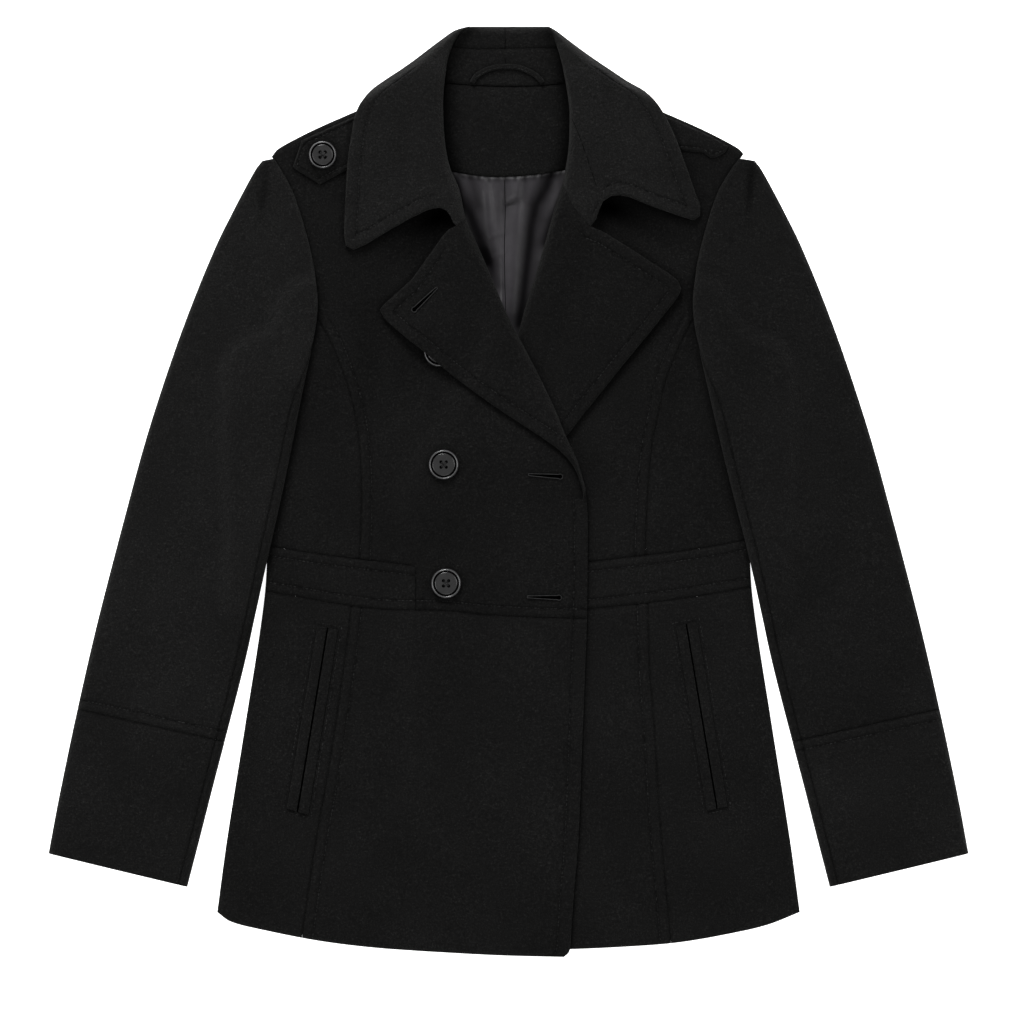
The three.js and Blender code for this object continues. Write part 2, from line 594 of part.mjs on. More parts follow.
// Seams dip a little, free edges round off
const dip = (d) => 0.5 * (1 - clamp(d / 1.6));
const bull = (d, t) => 0.34 * t * (1 - quarter(d / 1.4));

// Back: bodice, waistband and skirt, flat on the surface but for the rise over the collar's fall
function buildBack() {
  const bandFootY = -88;
  const bandTopY = -48;
  const side = (s) => bodySide(s);
  const level = (y) => (s) => [side(s)(y), y];
  const hem = (s) => meet(side(s), backHem, -353);
  const upTo = (from, to) => (s) => upright(side(s), from(s), to(s));
  const span = (from) => chain([from(-1), from(1)]);
  const flat = () => 0;
  const thick = (x, y, edge) => BACK - bull(Math.min(edge.outer, edge.inner), BACK);
  const grid = { outer: FREE, inner: FREE, bottom: SEAM, top: SEAM, across: 9 };
  const skirt = upTo(hem, level(bandFootY));
  panel('back_skirt', wool, -1, {
    outer: skirt(-1), inner: skirt(1), top: span(level(bandFootY)),
    bottom: across(backHem, hem(-1), hem(1)),
  }, { ...grid, along: 6 }, flat, thick);
  const band = upTo(level(bandFootY), level(bandTopY));
  panel('back_waistband', wool, -1, {
    outer: band(-1), inner: band(1), bottom: span(level(bandFootY)), top: span(level(bandTopY)),
  }, { ...grid, along: 1 }, flat, thick);
  const bodice = upTo(level(bandTopY), (s) => CORNERS[s].shoulder);
  const neckAndShoulders = (x) => (Math.abs(x) > 53 ? shoulderLine(x) : neckSeam(x) + 0.2);
  panel('back_bodice', wool, -1, {
    outer: bodice(-1), inner: bodice(1), bottom: span(level(bandTopY)),
    top: across(neckAndShoulders, CORNERS[-1].shoulder, CORNERS[1].shoulder),
  }, { ...grid, along: 17 }, (x, y) => neckRise(y), (x, y, edge) => neckRise(y) + thick(x, y, edge));
}

// One half of the fronts
function buildFront(side) {
  const word = side < 0 ? 'left' : 'right';
  const c = CORNERS[side];
  const edge = bodySide(side);
  const front = side < 0 ? frontEdge : hiddenEdge;
  const bandEnd = BAND_END_X - GAP;
  const free = side < 0 ? (d) => bull(d, CLOTH) : () => 0;
  const lower = (x, y) => under[side](x, y);
  const skin = (x, y, e) => frontSkin(side, x, y) - dip(Math.min(e.outer, e.inner, e.bottom, e.top));
  const skinFree = (x, y, e) => frontSkin(side, x, y) - dip(Math.min(e.outer, e.bottom, e.top))
    - free(e.inner);

  panel(`side_front_${word}`, wool, side, {
    outer: upright(edge, c.bandTopSide, c.sideTop),
    inner: upright(PRINCESS[side], c.bandTopSeam, c.underarm),
    bottom: across(BAND_TOP[side], c.bandTopSide, c.bandTopSeam),
    top: upright(edge, c.sideTop, c.underarm),
  }, { outer: ROUND, inner: CURVED, bottom: SEAM, top: CURVED, across: 3, along: 12 }, lower, skin);

  panel(`waistband_${word}`, wool, side, {
    outer: upright(edge, c.bandFootSide, c.bandTopSide),
    inner: side < 0 ? upright(() => bandEnd, [0, BAND_BOTTOM[-1](bandEnd)], [0, BAND_TOP[-1](bandEnd)])
      : upright(front, c.bandFootFront, c.bandTopFront),
    bottom: across(BAND_BOTTOM[side], c.bandFootSide, side < 0 ? [bandEnd, 0] : c.bandFootFront),
    top: across(BAND_TOP[side], c.bandTopSide, side < 0 ? [bandEnd, 0] : c.bandTopFront),
  }, { outer: ROUND, inner: SEAM, bottom: SEAM, top: SEAM, across: side < 0 ? 5 : 10, along: 2 }, lower, skin);

  panel(`skirt_side_${word}`, wool, side, {
    outer: upright(edge, c.hemSide, c.bandFootSide),
    inner: upright(SKIRT_SEAM[side], c.hemSeam, c.bandFootSeam),
    bottom: across(HEM[side], c.hemSide, c.hemSeam),
    top: across(BAND_BOTTOM[side], c.bandFootSide, c.bandFootSeam),
  }, { outer: ROUND, inner: SEAM, bottom: ROUND, top: SEAM, across: 3, along: 9 }, lower, skin);

  panel(`skirt_front_${word}`, wool, side, {
    outer: upright(SKIRT_SEAM[side], c.hemSeam, c.bandFootSeam),
    inner: upright(front, c.hemFront, c.bandFootFront),
    bottom: across(HEM[side], c.hemSeam, c.hemFront),
    top: across(BAND_BOTTOM[side], c.bandFootSeam, c.bandFootFront),
  }, { outer: SEAM, inner: FREE, bottom: ROUND, top: SEAM, across: 8, along: 9 }, lower, skinFree);

  const outerLine = (y) => (y < UNDERARM_Y ? PRINCESS[side](y) : edge(y));
  if (side < 0) {
    buildCentreFrontLeft(c, outerLine, lower, skinFree);
    return;
  }
  panel('centre_front_right', wool, side, {
    outer: upright(outerLine, c.bandTopSeam, c.shoulder),
    inner: upright(frontLine(side), c.bandTopFront, c.neck),
    bottom: across(BAND_TOP[1], c.bandTopSeam, c.bandTopFront),
    top: across(shoulderLine, c.shoulder, c.neck),
  }, { outer: CURVED, inner: SEAM, bottom: SEAM, top: ROUND, across: 7, along: 20 }, lower, skin);
}

// The left centre front, with its lower corner cut away where the waistband ends
function buildCentreFrontLeft(c, outerLine, lower, skin) {
  const foot = c.bandFootFront;
  const stepTop = [BAND_END_X, BAND_TOP[-1](BAND_END_X)];
  const cut = (c.bandTopSeam[0] - BAND_END_X) / (c.bandTopSeam[0] - foot[0]);
  const toStep = across(BAND_TOP[-1], c.bandTopSeam, stepTop);
  const fromStep = across(BAND_BOTTOM[-1], [BAND_END_X, 0], foot);
  const bottom = (t) => (t < cut ? toStep(t / cut) : fromStep((t - cut) / (1 - cut)));
  const outer = upright(outerLine, c.bandTopSeam, c.shoulder);
  const inner = upright(frontLine(-1), foot, c.neck);
  const top = across(shoulderLine, c.shoulder, c.neck);
  panel('centre_front_left', wool, -1, { outer, inner, bottom, top }, {
    outer: CURVED, inner: FREE, bottom: SEAM, top: ROUND, cut, acrossToCut: 2, across: 5, along: 20,
  }, lower, skin);
}

// A lapel: two layers turned back over the front at its roll line
function buildLapel(side) {
  const word = side < 0 ? 'left' : 'right';
  const tip = side < 0 ? [-107.9, 152.5] : [144.9, 169.5];
  const gorge = side < 0 ? [-35.7, 229] : [45.4, 258];
  const foot = side < 0 ? [62.7, -7] : [LAPEL_EDGE[1](4.2), 4.2];
  const start = side < 0 ? [64.6, 2.6] : [ROLL_LINE[1](19), 19];
  panel(`lapel_${word}`, wool, side, {
    outer: upright(LAPEL_EDGE[side], foot, tip),
    inner: upright(ROLL_LINE[side], start, gorge),
    bottom: chain([foot, start]),
    top: across(LAPEL_TOP[side], tip, gorge),
  }, { outer: FREE, inner: ROLLED, bottom: FREE, top: FREE, across: 5, along: 13 },
  (x, y, e) => lapelUnder(side, x, y, e) + bull(Math.min(e.outer, e.top), TURNED) * clamp(e.inner / ROLL),
  (x, y, e) => lapelTop(side, x, y, e) - bull(Math.min(e.outer, e.top), TURNED));
}

// A collar wing: down over the shoulder in front, round the neck, and over the edge behind it
function buildWing(side) {
  const word = side < 0 ? 'left' : 'right';
  const tip = side < 0 ? [-136.4, 206] : [160.6, 231];
  const gorge = side < 0 ? [-35.7, 229.3] : [45.4, 258.3];
  const outerTop = [side * 36, COLLAR_TOP_Y];
  const innerTop = [ROLL_LINE[side](384), 384];
  panel(`collar_wing_${word}`, wool, side, {
    outer: upright(WING_EDGE[side], tip, outerTop),
    inner: upright(ROLL_LINE[side], gorge, innerTop),
    bottom: across(WING_FRONT[side], tip, gorge),
    top: chain([outerTop, innerTop]),
  }, { outer: WRAPPED, inner: ROLLED, bottom: FREE, top: SEAM, across: 3, along: 12 },
  (x, y, e) => wingBottom(side, x, y, e)
    + bull(Math.min(e.outer, e.bottom), TURNED) * (1 - wrapShare(y)) * clamp(e.inner / ROLL),
  (x, y, e) => wingTop(side, x, y, e) - bull(Math.min(e.outer, e.bottom), TURNED) * (1 - wrapShare(y)));
}

// Inside the neck: the collar's inside, its stand, the facing, the lining and the hanger loop
function buildNeck() {
  const rollAt = (side, shift) => (y) => ROLL_LINE[side](y)
    + side * mix(shift, -INSET, smooth(316, 332, y));
  const between = (shift, low, high) => {
    const left = rollAt(-1, shift);
    const right = rollAt(1, shift);
    const corner = (s, edgeAt, start) => meet(s < 0 ? left : right, edgeAt, start);
    const [a, b] = [corner(-1, low, low(0)), corner(1, low, low(0))];
    const [c, d] = [corner(-1, high, high(0)), corner(1, high, high(0))];
    return { outer: upright(left, a, c), inner: upright(right, b, d), bottom: across(low, a, b), top: across(high, c, d) };
  };
  const plain = { outer: SEAM, inner: SEAM, bottom: SEAM, top: SEAM };
  const tilt = (x, y, e) => dip(Math.min(e.bottom, e.top));

  panel('collar_stand', wool, -1, between(-INSET, (x) => neckSeam(x) + 0.6, standSeam),
    { ...plain, across: 7, along: 2 }, () => NECK_RISE, (x, y, e) => STAND_TOP - tilt(x, y, e));
  const fold = () => COLLAR_TOP_Y - 0.2;
  panel('collar_inside', wool, -1, between(-INSET, standSeam, fold),
    { ...plain, top: [0.15, 1.2, TURNED, 6, NECK_WRAP], across: 7, along: 2 },
    (x, y, e) => NECK_RISE * (e.top < TURNED ? 0 : quarter((e.top - TURNED) / (NECK_WRAP - TURNED))),
    (x, y, e) => STAND_TOP * Math.max(0.1, quarter(e.top / NECK_WRAP)) - dip(e.bottom));

  const fallSide = (s) => chain([[s * FALL_HALF, fallFoot(FALL_HALF)], [s * FALL_HALF, fallTop(FALL_HALF)]]);
  panel('collar_fall', wool, -1, {
    outer: fallSide(-1), inner: fallSide(1),
    bottom: across((x) => fallFoot(Math.abs(x)), [-FALL_HALF, 0], [FALL_HALF, 0]),
    top: across((x) => fallTop(Math.abs(x)), [-FALL_HALF, 0], [FALL_HALF, 0]),
  }, { outer: FREE, inner: FREE, bottom: FREE, top: FREE, across: 10, along: 2 }, () => 0,
  (x, y, e) => FALL - bull(e.bottom, FALL));

  panel('back_neck_facing', wool, -1, between(HIDDEN_MARGIN, facingEdge, (x) => neckSeam(x)),
    { ...plain, across: 6, along: 4 },
    (x, y) => backTop(y) + REST, (x, y, e) => backTop(y) + REST + FACING - tilt(x, y, e));

  const folds = (x, y) => {
    const drop = facingEdge(x) - y;
    const fade = smooth(0, 14, drop) * (1 - 0.5 * smooth(90, 140, drop));
    return fade * Math.max(...LINING_FOLDS.map((f) => f.height
      * Math.exp(-(((x - f.x - f.run * drop) / f.width) ** 2))));
  };
  panel('back_lining', satin, -1, between(HIDDEN_MARGIN, () => LINING_FOOT_Y, facingEdge),
    { ...plain, across: 10, along: 7 },
    (x, y) => backTop(y) + REST, (x, y) => backTop(y) + REST + LINING + folds(x, y));

  const middle = new THREE.SplineCurve(LOOP_LINE.map(([x, y]) => new THREE.Vector2(x, y)));
  const line = (shift) => (t) => {
    const p = middle.getPoint(clamp(t));
    const d = middle.getTangent(clamp(t));
    return [p.x - d.y * shift, p.y + d.x * shift];
  };
  const half = LOOP_WIDTH / 2;
  panel('hanger_loop', wool, -1, {
    outer: chain([line(-half)(0), line(half)(0)]), inner: chain([line(-half)(1), line(half)(1)]),
    bottom: line(-half), top: line(half),
  }, { outer: [0, 0.8], inner: [0, 0.8], bottom: [0, 0.7], top: [0, 0.7], across: 9, along: 1 },
  () => STAND_TOP + GAP,
  (x, y, e) => STAND_TOP + GAP + LOOP_HEIGHT * (0.55 + 0.45 * quarter(Math.min(e.bottom, e.top) / 0.9)));
}

// The sleeve's row at a place v along the table, cuff at 0, with splines between the rows
function sleeveRow(side) {
  const column = (key) => table(SLEEVE.map((row, i) => [i, row[key]]));
  const [ix, iy, ox, oy, lean] = ['ix', 'iy', 'ox', 'oy', 'lean'].map(column);
  return (row) => ({
    inner: [side * (ix(row) + SLEEVE_SET) + ARMHOLE_LEAN * lean(row), iy(row)],
    outer: [side * ox(row), oy(row)],
  });
}

// A point of the flattened tube, as distance from the inner edge and height. around is 0 at the
// inner edge, 0.5 at the outer edge and 1 at the inner edge again by way of the floor, and so on
function tubePoint(width, height, around, inset) {
  const lap = around - Math.floor(around);
  const radius = height / 2;
  const r = radius - inset * Math.min(1, radius / FULL_RADIUS);
  const arc = (Math.PI / 2) * radius;
  const flat = width - 2 * radius;
  const upper = lap < 0.5;
  const s = (upper ? lap : 1 - lap) * 2 * (flat + 2 * arc);
  const past = s - arc - flat;
  if (s < arc) {
    const rise = r * Math.sin(s / radius);
    return [radius - r * Math.cos(s / radius), radius + (upper ? rise : -rise)];
  }
  if (past > 0) {
    const rise = r * Math.cos(past / radius);
    return [radius + flat + r * Math.sin(past / radius), radius + (upper ? rise : -rise)];
  }
  return [s - arc + radius, radius + (upper ? r : -r)];
}

// Places around a sleeve between two shares of the lap, close together where it turns
function ring(from, to, count) {
  const arc = ((Math.PI / 4) * SLEEVE_HEIGHT) / lapOf(SLEEVE_TYPICAL_WIDTH);
  const marks = [arc / 2, arc, 0.5 - arc, 0.5 - arc / 2, 0.5];
  for (let i = 1; i < count; i++) marks.push(mix(arc, 0.5 - arc, i / count));
  const laps = [...marks, ...marks.map((t) => t + 0.5)].flatMap((t) => [t, t + 1]);
  return laps.filter((t) => t > from + MARK_MARGIN && t < to - MARK_MARGIN).sort((m, n) => m - n);
}

// The way round a flattened sleeve of a width, in millimetres
const lapOf = (width) => 2 * (width - SLEEVE_HEIGHT + (Math.PI * SLEEVE_HEIGHT) / 2);

function buildSleeve(side) {
  const word = side < 0 ? 'left' : 'right';
  const at = sleeveRow(side);
  const base = (x, y) => (frontTop(side, x, y) + GAP) * drape(sleeveRegion[side], x, y, ...SLEEVE_DRAPE);
  const widthAt = (row) => {
    const { inner, outer } = at(row);
    return Math.hypot(outer[0] - inner[0], outer[1] - inner[1]);
  };
  const lift = (row, around, inset) => {
    const { inner, outer } = at(row);
    const width = widthAt(row);
    const [a, z] = tubePoint(width, Math.min(SLEEVE_HEIGHT, width * 0.8), around, inset);
    const [x, y] = [0, 1].map((k) => mix(inner[k], outer[k], a / width));
    return [x, y, z + base(x, y)];
  };
  const build = (name, rows, start, end, count) => {
    const middle = rows[Math.floor(rows.length / 2)];
    const [from, to] = [start(middle), end(middle)];
    const shares = [0, ...ring(from, to, count).map((t) => (t - from) / (to - from)), 1];
    const grid = (inset) => rows.map((row) => shares.map((t) => lift(row, mix(start(row), end(row), t), inset)));
    wall(name, wool, grid(0), grid(SLEEVE_WALL), side < 0);
  };

  // The seam on top runs near the inner edge below the underarm, and at the armhole above it.
  // The seam on the floor is the under sleeve's other edge
  const topSeam = (row) => mix(TOP_SEAM_LAP, ARMHOLE_SEAM_LAP, smooth(UNDERARM_ROW - 1.4, UNDERARM_ROW - 0.2, row))
    / lapOf(widthAt(row));
  const floorSeam = (row) => 1 - mix(FLOOR_SEAM_SHARE, 0.008, smooth(UNDERARM_ROW - 1.6, UNDERARM_ROW - 0.2, row));
  const half = (row) => SLEEVE_GAP / lapOf(widthAt(row));
  const stations = (from, to, count) => Array.from({ length: count + 1 }, (_, i) => mix(from, to, i / count));
  const cuffTop = CUFF_ROW - ROW_GAP;
  const below = stations(CUFF_ROW + ROW_GAP, UNDERARM_ROW - 0.5, 9);
  const above = stations(UNDERARM_ROW - 0.5, SLEEVE.length - 1, 8).slice(1);

  build(`cuff_${word}`, stations(0, cuffTop, 4), (row) => topSeam(row) + half(row),
    (row) => 1 + topSeam(row) - half(row), 4);
  build(`sleeve_upper_${word}`, [...below, ...above], (row) => topSeam(row) + half(row),
    (row) => floorSeam(row) - half(row), 4);
  build(`sleeve_under_${word}`, below,
    (row) => floorSeam(row) + half(row), (row) => 1 + topSeam(row) - half(row), 5);
}

// Welts, epaulettes, buttons and buttonholes
function buildWelts(side) {
  const word = side < 0 ? 'left' : 'right';
  const { topFar, topNear, footFar, footNear } = POCKET[side];
  const between = (a, b, t) => [0, 1].map((k) => mix(a[k], b[k], t));
  const slit = WELT_SLIT / 2 / Math.hypot(topFar[0] - topNear[0], topFar[1] - topNear[1]);
  const lay = (name, a, b) => panel(name, wool, side, {
    outer: chain([between(footFar, footNear, a), between(topFar, topNear, a)]),
    inner: chain([between(footFar, footNear, b), between(topFar, topNear, b)]),
    bottom: chain([between(footFar, footNear, a), between(footFar, footNear, b)]),
    top: chain([between(topFar, topNear, a), between(topFar, topNear, b)]),
  }, { outer: [0, 0.9], inner: [0, 0.9], bottom: [0, 1], top: [0, 1], across: 1, along: 4 },
  (x, y) => frontTop(side, x, y) + GAP,
  (x, y, e) => frontTop(side, x, y) + GAP + WELT * (0.5 + 0.5 * quarter(Math.min(e.outer, e.inner) / 1.4)));
  lay(`welt_outer_${word}`, 0, 0.5 - slit);
  lay(`welt_inner_${word}`, 0.5 + slit, 1);
}

function buildStrap(side) {
  const word = side < 0 ? 'left' : 'right';
  const { end, lower, upper } = STRAPS[side];
  panel(`epaulette_${word}`, wool, side, {
    outer: chain(end), inner: chain([lower.at(-1), upper.at(-1)]), bottom: chain(lower), top: chain(upper),
  }, { outer: FREE, inner: [0, 1], bottom: FREE, top: [0.15, 1.2, 3.2, RIM], across: 4, along: 2 },
  (x, y) => frontSkin(side, x, y) + REST,
  (x, y, e) => frontSkin(side, x, y) + REST + STRAP - 2 * bull(Math.min(e.outer, e.bottom, e.top), STRAP));
}

// A four-hole button: rounded edge, raised rim and a dished middle
function buttonSolid(wasm, radius) {
  const points = BUTTON_PROFILE.map(([r, z]) => new THREE.Vector2(r * radius, z * BUTTON_HEIGHT));
  const solid = (geometry) => {
    geometry.deleteAttribute('normal');
    geometry.deleteAttribute('uv');
    const merged = mergeVertices(geometry, 1e-4);
    return new wasm.Manifold(new wasm.Mesh({
      numProp: 3, vertProperties: merged.attributes.position.array, triVerts: merged.index.array,
    }));
  };
  let button = solid(new THREE.LatheGeometry(points, BUTTON_SIDES));
  const { radius: bore, pitch, sides } = THREAD_HOLE;
  for (const [sx, sy] of [[-1, -1], [1, -1], [1, 1], [-1, 1]]) {
    const hole = new THREE.CylinderGeometry(bore, bore, 3 * BUTTON_HEIGHT, sides);
    hole.translate(sx * pitch, 0, sy * pitch);
    button = button.subtract(solid(hole));
  }
  const mesh = button.getMesh();
  const geometry = new THREE.BufferGeometry();
  geometry.setAttribute('position', new THREE.Float32BufferAttribute(mesh.vertProperties, 3));
  geometry.setIndex([...mesh.triVerts]);
  return geometry.rotateX(Math.PI / 2);
}

// The worked edge of a keyhole buttonhole, bent to the cloth it lies on
function buildButtonhole({ name, x, y, turn, onLapel }) {
  const half = HOLE_LENGTH / 2;
  const trace = (path, inset) => {
    const eye = HOLE_EYE - inset;
    path.moveTo(-half + inset, inset - HOLE_SLOT);
    path.lineTo(half - HOLE_EYE + eye * Math.cos(EYE_TURN), -eye * Math.sin(EYE_TURN));
    path.absarc(half - HOLE_EYE, 0, eye, -EYE_TURN, EYE_TURN, false);
    path.lineTo(-half + inset, HOLE_SLOT - inset);
    path.closePath();
    return path;
  };
  const shape = trace(new THREE.Shape(), 0);
  shape.holes.push(trace(new THREE.Path(), HOLE_RIM));
  const geometry = new THREE.ExtrudeGeometry(shape, { depth: HOLE_DEPTH, bevelEnabled: false, curveSegments: 5 });
  geometry.rotateZ(THREE.MathUtils.degToRad(turn));
  geometry.translate(x, y, 0);
  const place = geometry.attributes.position;
  for (let i = 0; i < place.count; i++) {
    const [px, py] = [place.getX(i), place.getY(i)];
    const skin = onLapel ? turnUnder(-1, px, py) + TURNED : frontTop(-1, px, py);
    place.setZ(i, place.getZ(i) + skin + (onLapel ? 2 * HOLE_LIFT : HOLE_LIFT));
  }
  geometry.deleteAttribute('normal');
  geometry.deleteAttribute('uv');
  add(name, thread, mergeVertices(geometry, 1e-4));
}

buildBack();
for (const side of [-1, 1]) {
  buildFront(side);
  buildLapel(side);
  buildWing(side);
  buildSleeve(side);
  buildWelts(side);
  buildStrap(side);
}
buildNeck();
BUTTONHOLES.forEach(buildButtonhole);

const wasm = await Module();
wasm.setup();
for (const button of BUTTONS) {
  add(button.name, horn, buttonSolid(wasm, BUTTON_RADIUS)
    .translate(button.x, button.y, seat(button, BUTTON_RADIUS) + GAP));
}
add('button_epaulette', horn, buttonSolid(wasm, STRAP_BUTTON_RADIUS)
  .translate(STRAP_BUTTON.x, STRAP_BUTTON.y, seat(STRAP_BUTTON, STRAP_BUTTON_RADIUS) + STRAP + REST + GAP));

export default coat;
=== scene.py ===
# A double-breasted pea coat in black wool melton, laid flat on its back with its front up.
# Shapes are worked out in millimetres in the frame's own axes and made in metres. side is -1 for
# the left half and 1 for the right, as one looks down on the coat with the collar at the top.
import math

import bpy
import numpy as np
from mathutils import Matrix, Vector
from mathutils.bvhtree import BVHTree


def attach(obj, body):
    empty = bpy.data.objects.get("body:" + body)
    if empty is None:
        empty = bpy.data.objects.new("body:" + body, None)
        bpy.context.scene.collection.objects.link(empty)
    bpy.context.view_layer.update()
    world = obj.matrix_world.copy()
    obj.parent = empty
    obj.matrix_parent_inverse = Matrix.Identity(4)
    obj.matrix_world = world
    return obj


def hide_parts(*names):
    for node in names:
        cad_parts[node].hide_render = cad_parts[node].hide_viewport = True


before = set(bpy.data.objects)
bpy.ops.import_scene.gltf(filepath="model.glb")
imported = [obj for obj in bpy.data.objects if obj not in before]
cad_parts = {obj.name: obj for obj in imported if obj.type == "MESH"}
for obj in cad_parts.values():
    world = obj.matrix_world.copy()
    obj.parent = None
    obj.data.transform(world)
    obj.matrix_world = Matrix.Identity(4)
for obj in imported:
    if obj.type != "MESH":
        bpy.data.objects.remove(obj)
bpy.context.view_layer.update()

MM = 0.001
WORD = {-1: "left", 1: "right"}
SIDES = ("outer", "inner", "bottom", "top")

# Layers: how thick each is, and what is left free between them
GAP = 0.3
BACK = 2.6
CLOTH = 3.0
TURNED = 4.2
FACING = 2.4
LINING = 0.9
STRAP = 2.6
FALL = 4.2
NECK_RISE = FALL + GAP
STAND_TOP = NECK_RISE + 5.6
SLEEVE_WALL = 3.1
SLEEVE_HEIGHT = 10.0
# How far a sleeve's inner edge reaches into the body, and how much further from this row up
SLEEVE_SET = -0.65
HEAD_TUCK = 1.1
HEAD_ROW = 11

# How the pile swells, rounds and turns
BODY_LIFT = 1.6
CALM_EDGE = 22
CUT_SHARE, CUT_RADIUS = 0.34, 1.4
RIM = 6.0
ROLL = 9.0
WRAP = 14.0
NECK_WRAP = 9.0
NOTCH_FLOAT = 5.5
NOTCH_REACH = 34.0
REST = 0.5
TUCK = 7.0
TUCK_FROM = {-1: (8, 60), 1: (2, 12)}
HIDDEN_MARGIN = 8.0
STEP_REST = 0.2
LOW_GAP = 1.3
# Cloth over an edge starts down at the lead and takes the run to come down
NECK_DRAPE = (20, 8)
OVERLAP_DRAPE = (24, 12)
LAPEL_DRAPE = (56, 10)
SLEEVE_DRAPE = (18, 24)
STRAP_DRAPE = (14, 14)
BUTTON_SLOPE = (8, 42)

# Sewing: stitch distance from a seam or an edge, stitch pitch, length and width
SEAM_STITCH = 8.8
BAND_STITCH = 8.0
EDGE_STITCH = 10.0
FRONT_STITCH = 11.3
STITCH_PITCH = 3.4
STITCH_LENGTH = 2.5
STITCH_WIDTH = 0.5
GROOVE_DEPTH = 0.75
GROOVE_HALF = 1.1
PUFF = 0.5
SEAM_DIP = 0.95
SEAM_HALF = 1.5
# Painted shade along seams and stitch lines: how much darker at the line, and its half width
SEAM_SHADE, SEAM_SHADE_HALF = 0.3, 1.1
STITCH_SHADE, STITCH_SHADE_HALF = 0.26, 1.4

BUTTON_RADIUS = 12.5
STRAP_BUTTON_RADIUS = 11.5
BUTTON_HEIGHT = 4.2
HOLE_LENGTH = 30.0
GRID_STEP = 3.1
STEP_TAB = 3.0
TAB_ROWS = 5
TAB_POINTS = 200
# Stands for an edge too far off to matter
FAR = 99.0
# No sheet is given a width below this, though a welt is under 9 mm wide; its area is passed on as it is
LEAST_WIDTH = 10


def clamp(t):
    return np.clip(t, 0.0, 1.0)


def mix(a, b, t):
    return a + (b - a) * t


def smooth(a, b, t):
    s = clamp((np.asarray(t, float) - a) / (b - a))
    return s * s * (3 - 2 * s)


def quarter(t):
    """A quarter round: 0 at the rim, 1 from the radius inwards."""
    return np.sqrt(1 - (1 - clamp(t)) ** 2)


def bell(t):
    return np.exp(-np.square(t))


def table(rows):
    """A smooth function through its rows of (argument, value), straight beyond its ends."""
    ts, vs = np.array(rows, float).T
    n = len(ts)
    low = np.maximum(np.arange(n) - 1, 0)
    high = np.minimum(np.arange(n) + 1, n - 1)
    slopes = (vs[high] - vs[low]) / (ts[high] - ts[low])

    def at(t):
        t = np.asarray(t, float)
        i = np.clip(np.searchsorted(ts, t) - 1, 0, n - 2)
        h = ts[i + 1] - ts[i]
        s = clamp((t - ts[i]) / h)
        bend = (2 * s - 3) * s * s
        inside = (1 + bend) * vs[i] - bend * vs[i + 1]
        inside = inside + h * s * (1 - s) * ((1 - s) * slopes[i] - s * slopes[i + 1])
        beyond = np.minimum(t - ts[0], 0) * slopes[0] + np.maximum(t - ts[-1], 0) * slopes[-1]
        return inside + beyond

    return at


def steps(rows):
    ts, vs = np.array(rows, float).T
    return lambda t: np.interp(t, ts, vs)


# Outline of the body: half width by height, for both halves
side_half = table([(-353, 244.6), (-293, 236.5), (-192, 220.5), (-91, 205.2), (-45, 202.8),
                   (10, 205.3), (60, 207), (97, 206)])
armhole_half = table([(146, 158.2), (165, 158.3), (181, 160), (209, 165.7), (228, 171),
                      (252, 179.8), (271, 190.3), (282, 198)])
underarm_half = steps([(97, 206), (99.5, 195), (108, 180), (125, 166), (146, 158.2)])
shoulder_table = table([(52, 349), (91, 334.5), (144, 312), (162.5, 303.7), (179.4, 295.3),
                        (194, 286.9), (198, 282)])
ARMHOLE_LEAN = -2.7
UNDERARM_Y = 146
SHOULDER_Y = 282
SIDE_TOP_Y = 97
BREAK_Y = 2.6
BAND_END_X = -78.6
COLLAR_TOP_Y = 390.6

# Hems, band seams and fold lines: height by x. Princess, skirt and front lines: x by height
HEM = {
    -1: table([(-244.6, -353), (-233.9, -360.8), (-208.7, -367.5), (-158, -377.4), (-108, -383.4),
               (-57, -386.6), (-7, -389.2), (44, -390.5)]),
    1: table([(-60, -385), (43, -384.4), (94, -382.4), (144, -378.4), (194.5, -369.4),
              (219.7, -363), (244.6, -353)]),
}
PRINCESS = {
    -1: table([(-56, -124.8), (-14, -123.2), (23, -123.8), (60, -127.8), (92, -136),
               (125, -148.5), (146, -160.9)]),
    1: table([(-53, 115), (-26, 115.6), (5, 117.2), (38, 120.3), (60, 124.6), (90, 130.8),
              (118, 141.4), (146, 155.5)]),
}
BAND_TOP = {
    -1: table([(-205, -45.2), (-175, -50), (-150, -53.8), (-125, -56.8), (-77, -62.6)]),
    1: table([(-66, -67.6), (68, -59), (109, -54.2), (149, -49.6), (178, -44.8), (205, -39.6)]),
}
BAND_BOTTOM = {
    -1: table([(-207, -83.2), (-175, -88.6), (-131.6, -96), (-101, -99.2), (-70, -99.6),
               (-46, -100.7), (-22, -103.3), (19, -105.6), (66, -106.7)]),
    1: table([(-66, -103.6), (68, -98.6), (91, -96.3), (117, -93.5), (155, -88.4), (207, -79.8)]),
}
SKIRT_SEAM = {
    -1: table([(-376, -173.5), (-300, -162.4), (-234, -151), (-158, -139.4), (-96, -131.6)]),
    1: table([(-380, 136.5), (-284, 127.8), (-196, 122.2), (-150, 118.6), (-93, 116.8)]),
}
front_edge = table([(-391, 46), (-386, 51.2), (-370, 52.6), (-338, 54.8), (-293, 58.6),
                    (-212, 61.9), (-150, 64.3), (-105, 65.9), (-57, 66.4), (-18, 66.2),
                    (2.6, 64.6)])
hidden_edge = table([(-385, -52.5), (-68, -64), (1.3, -64.3)])
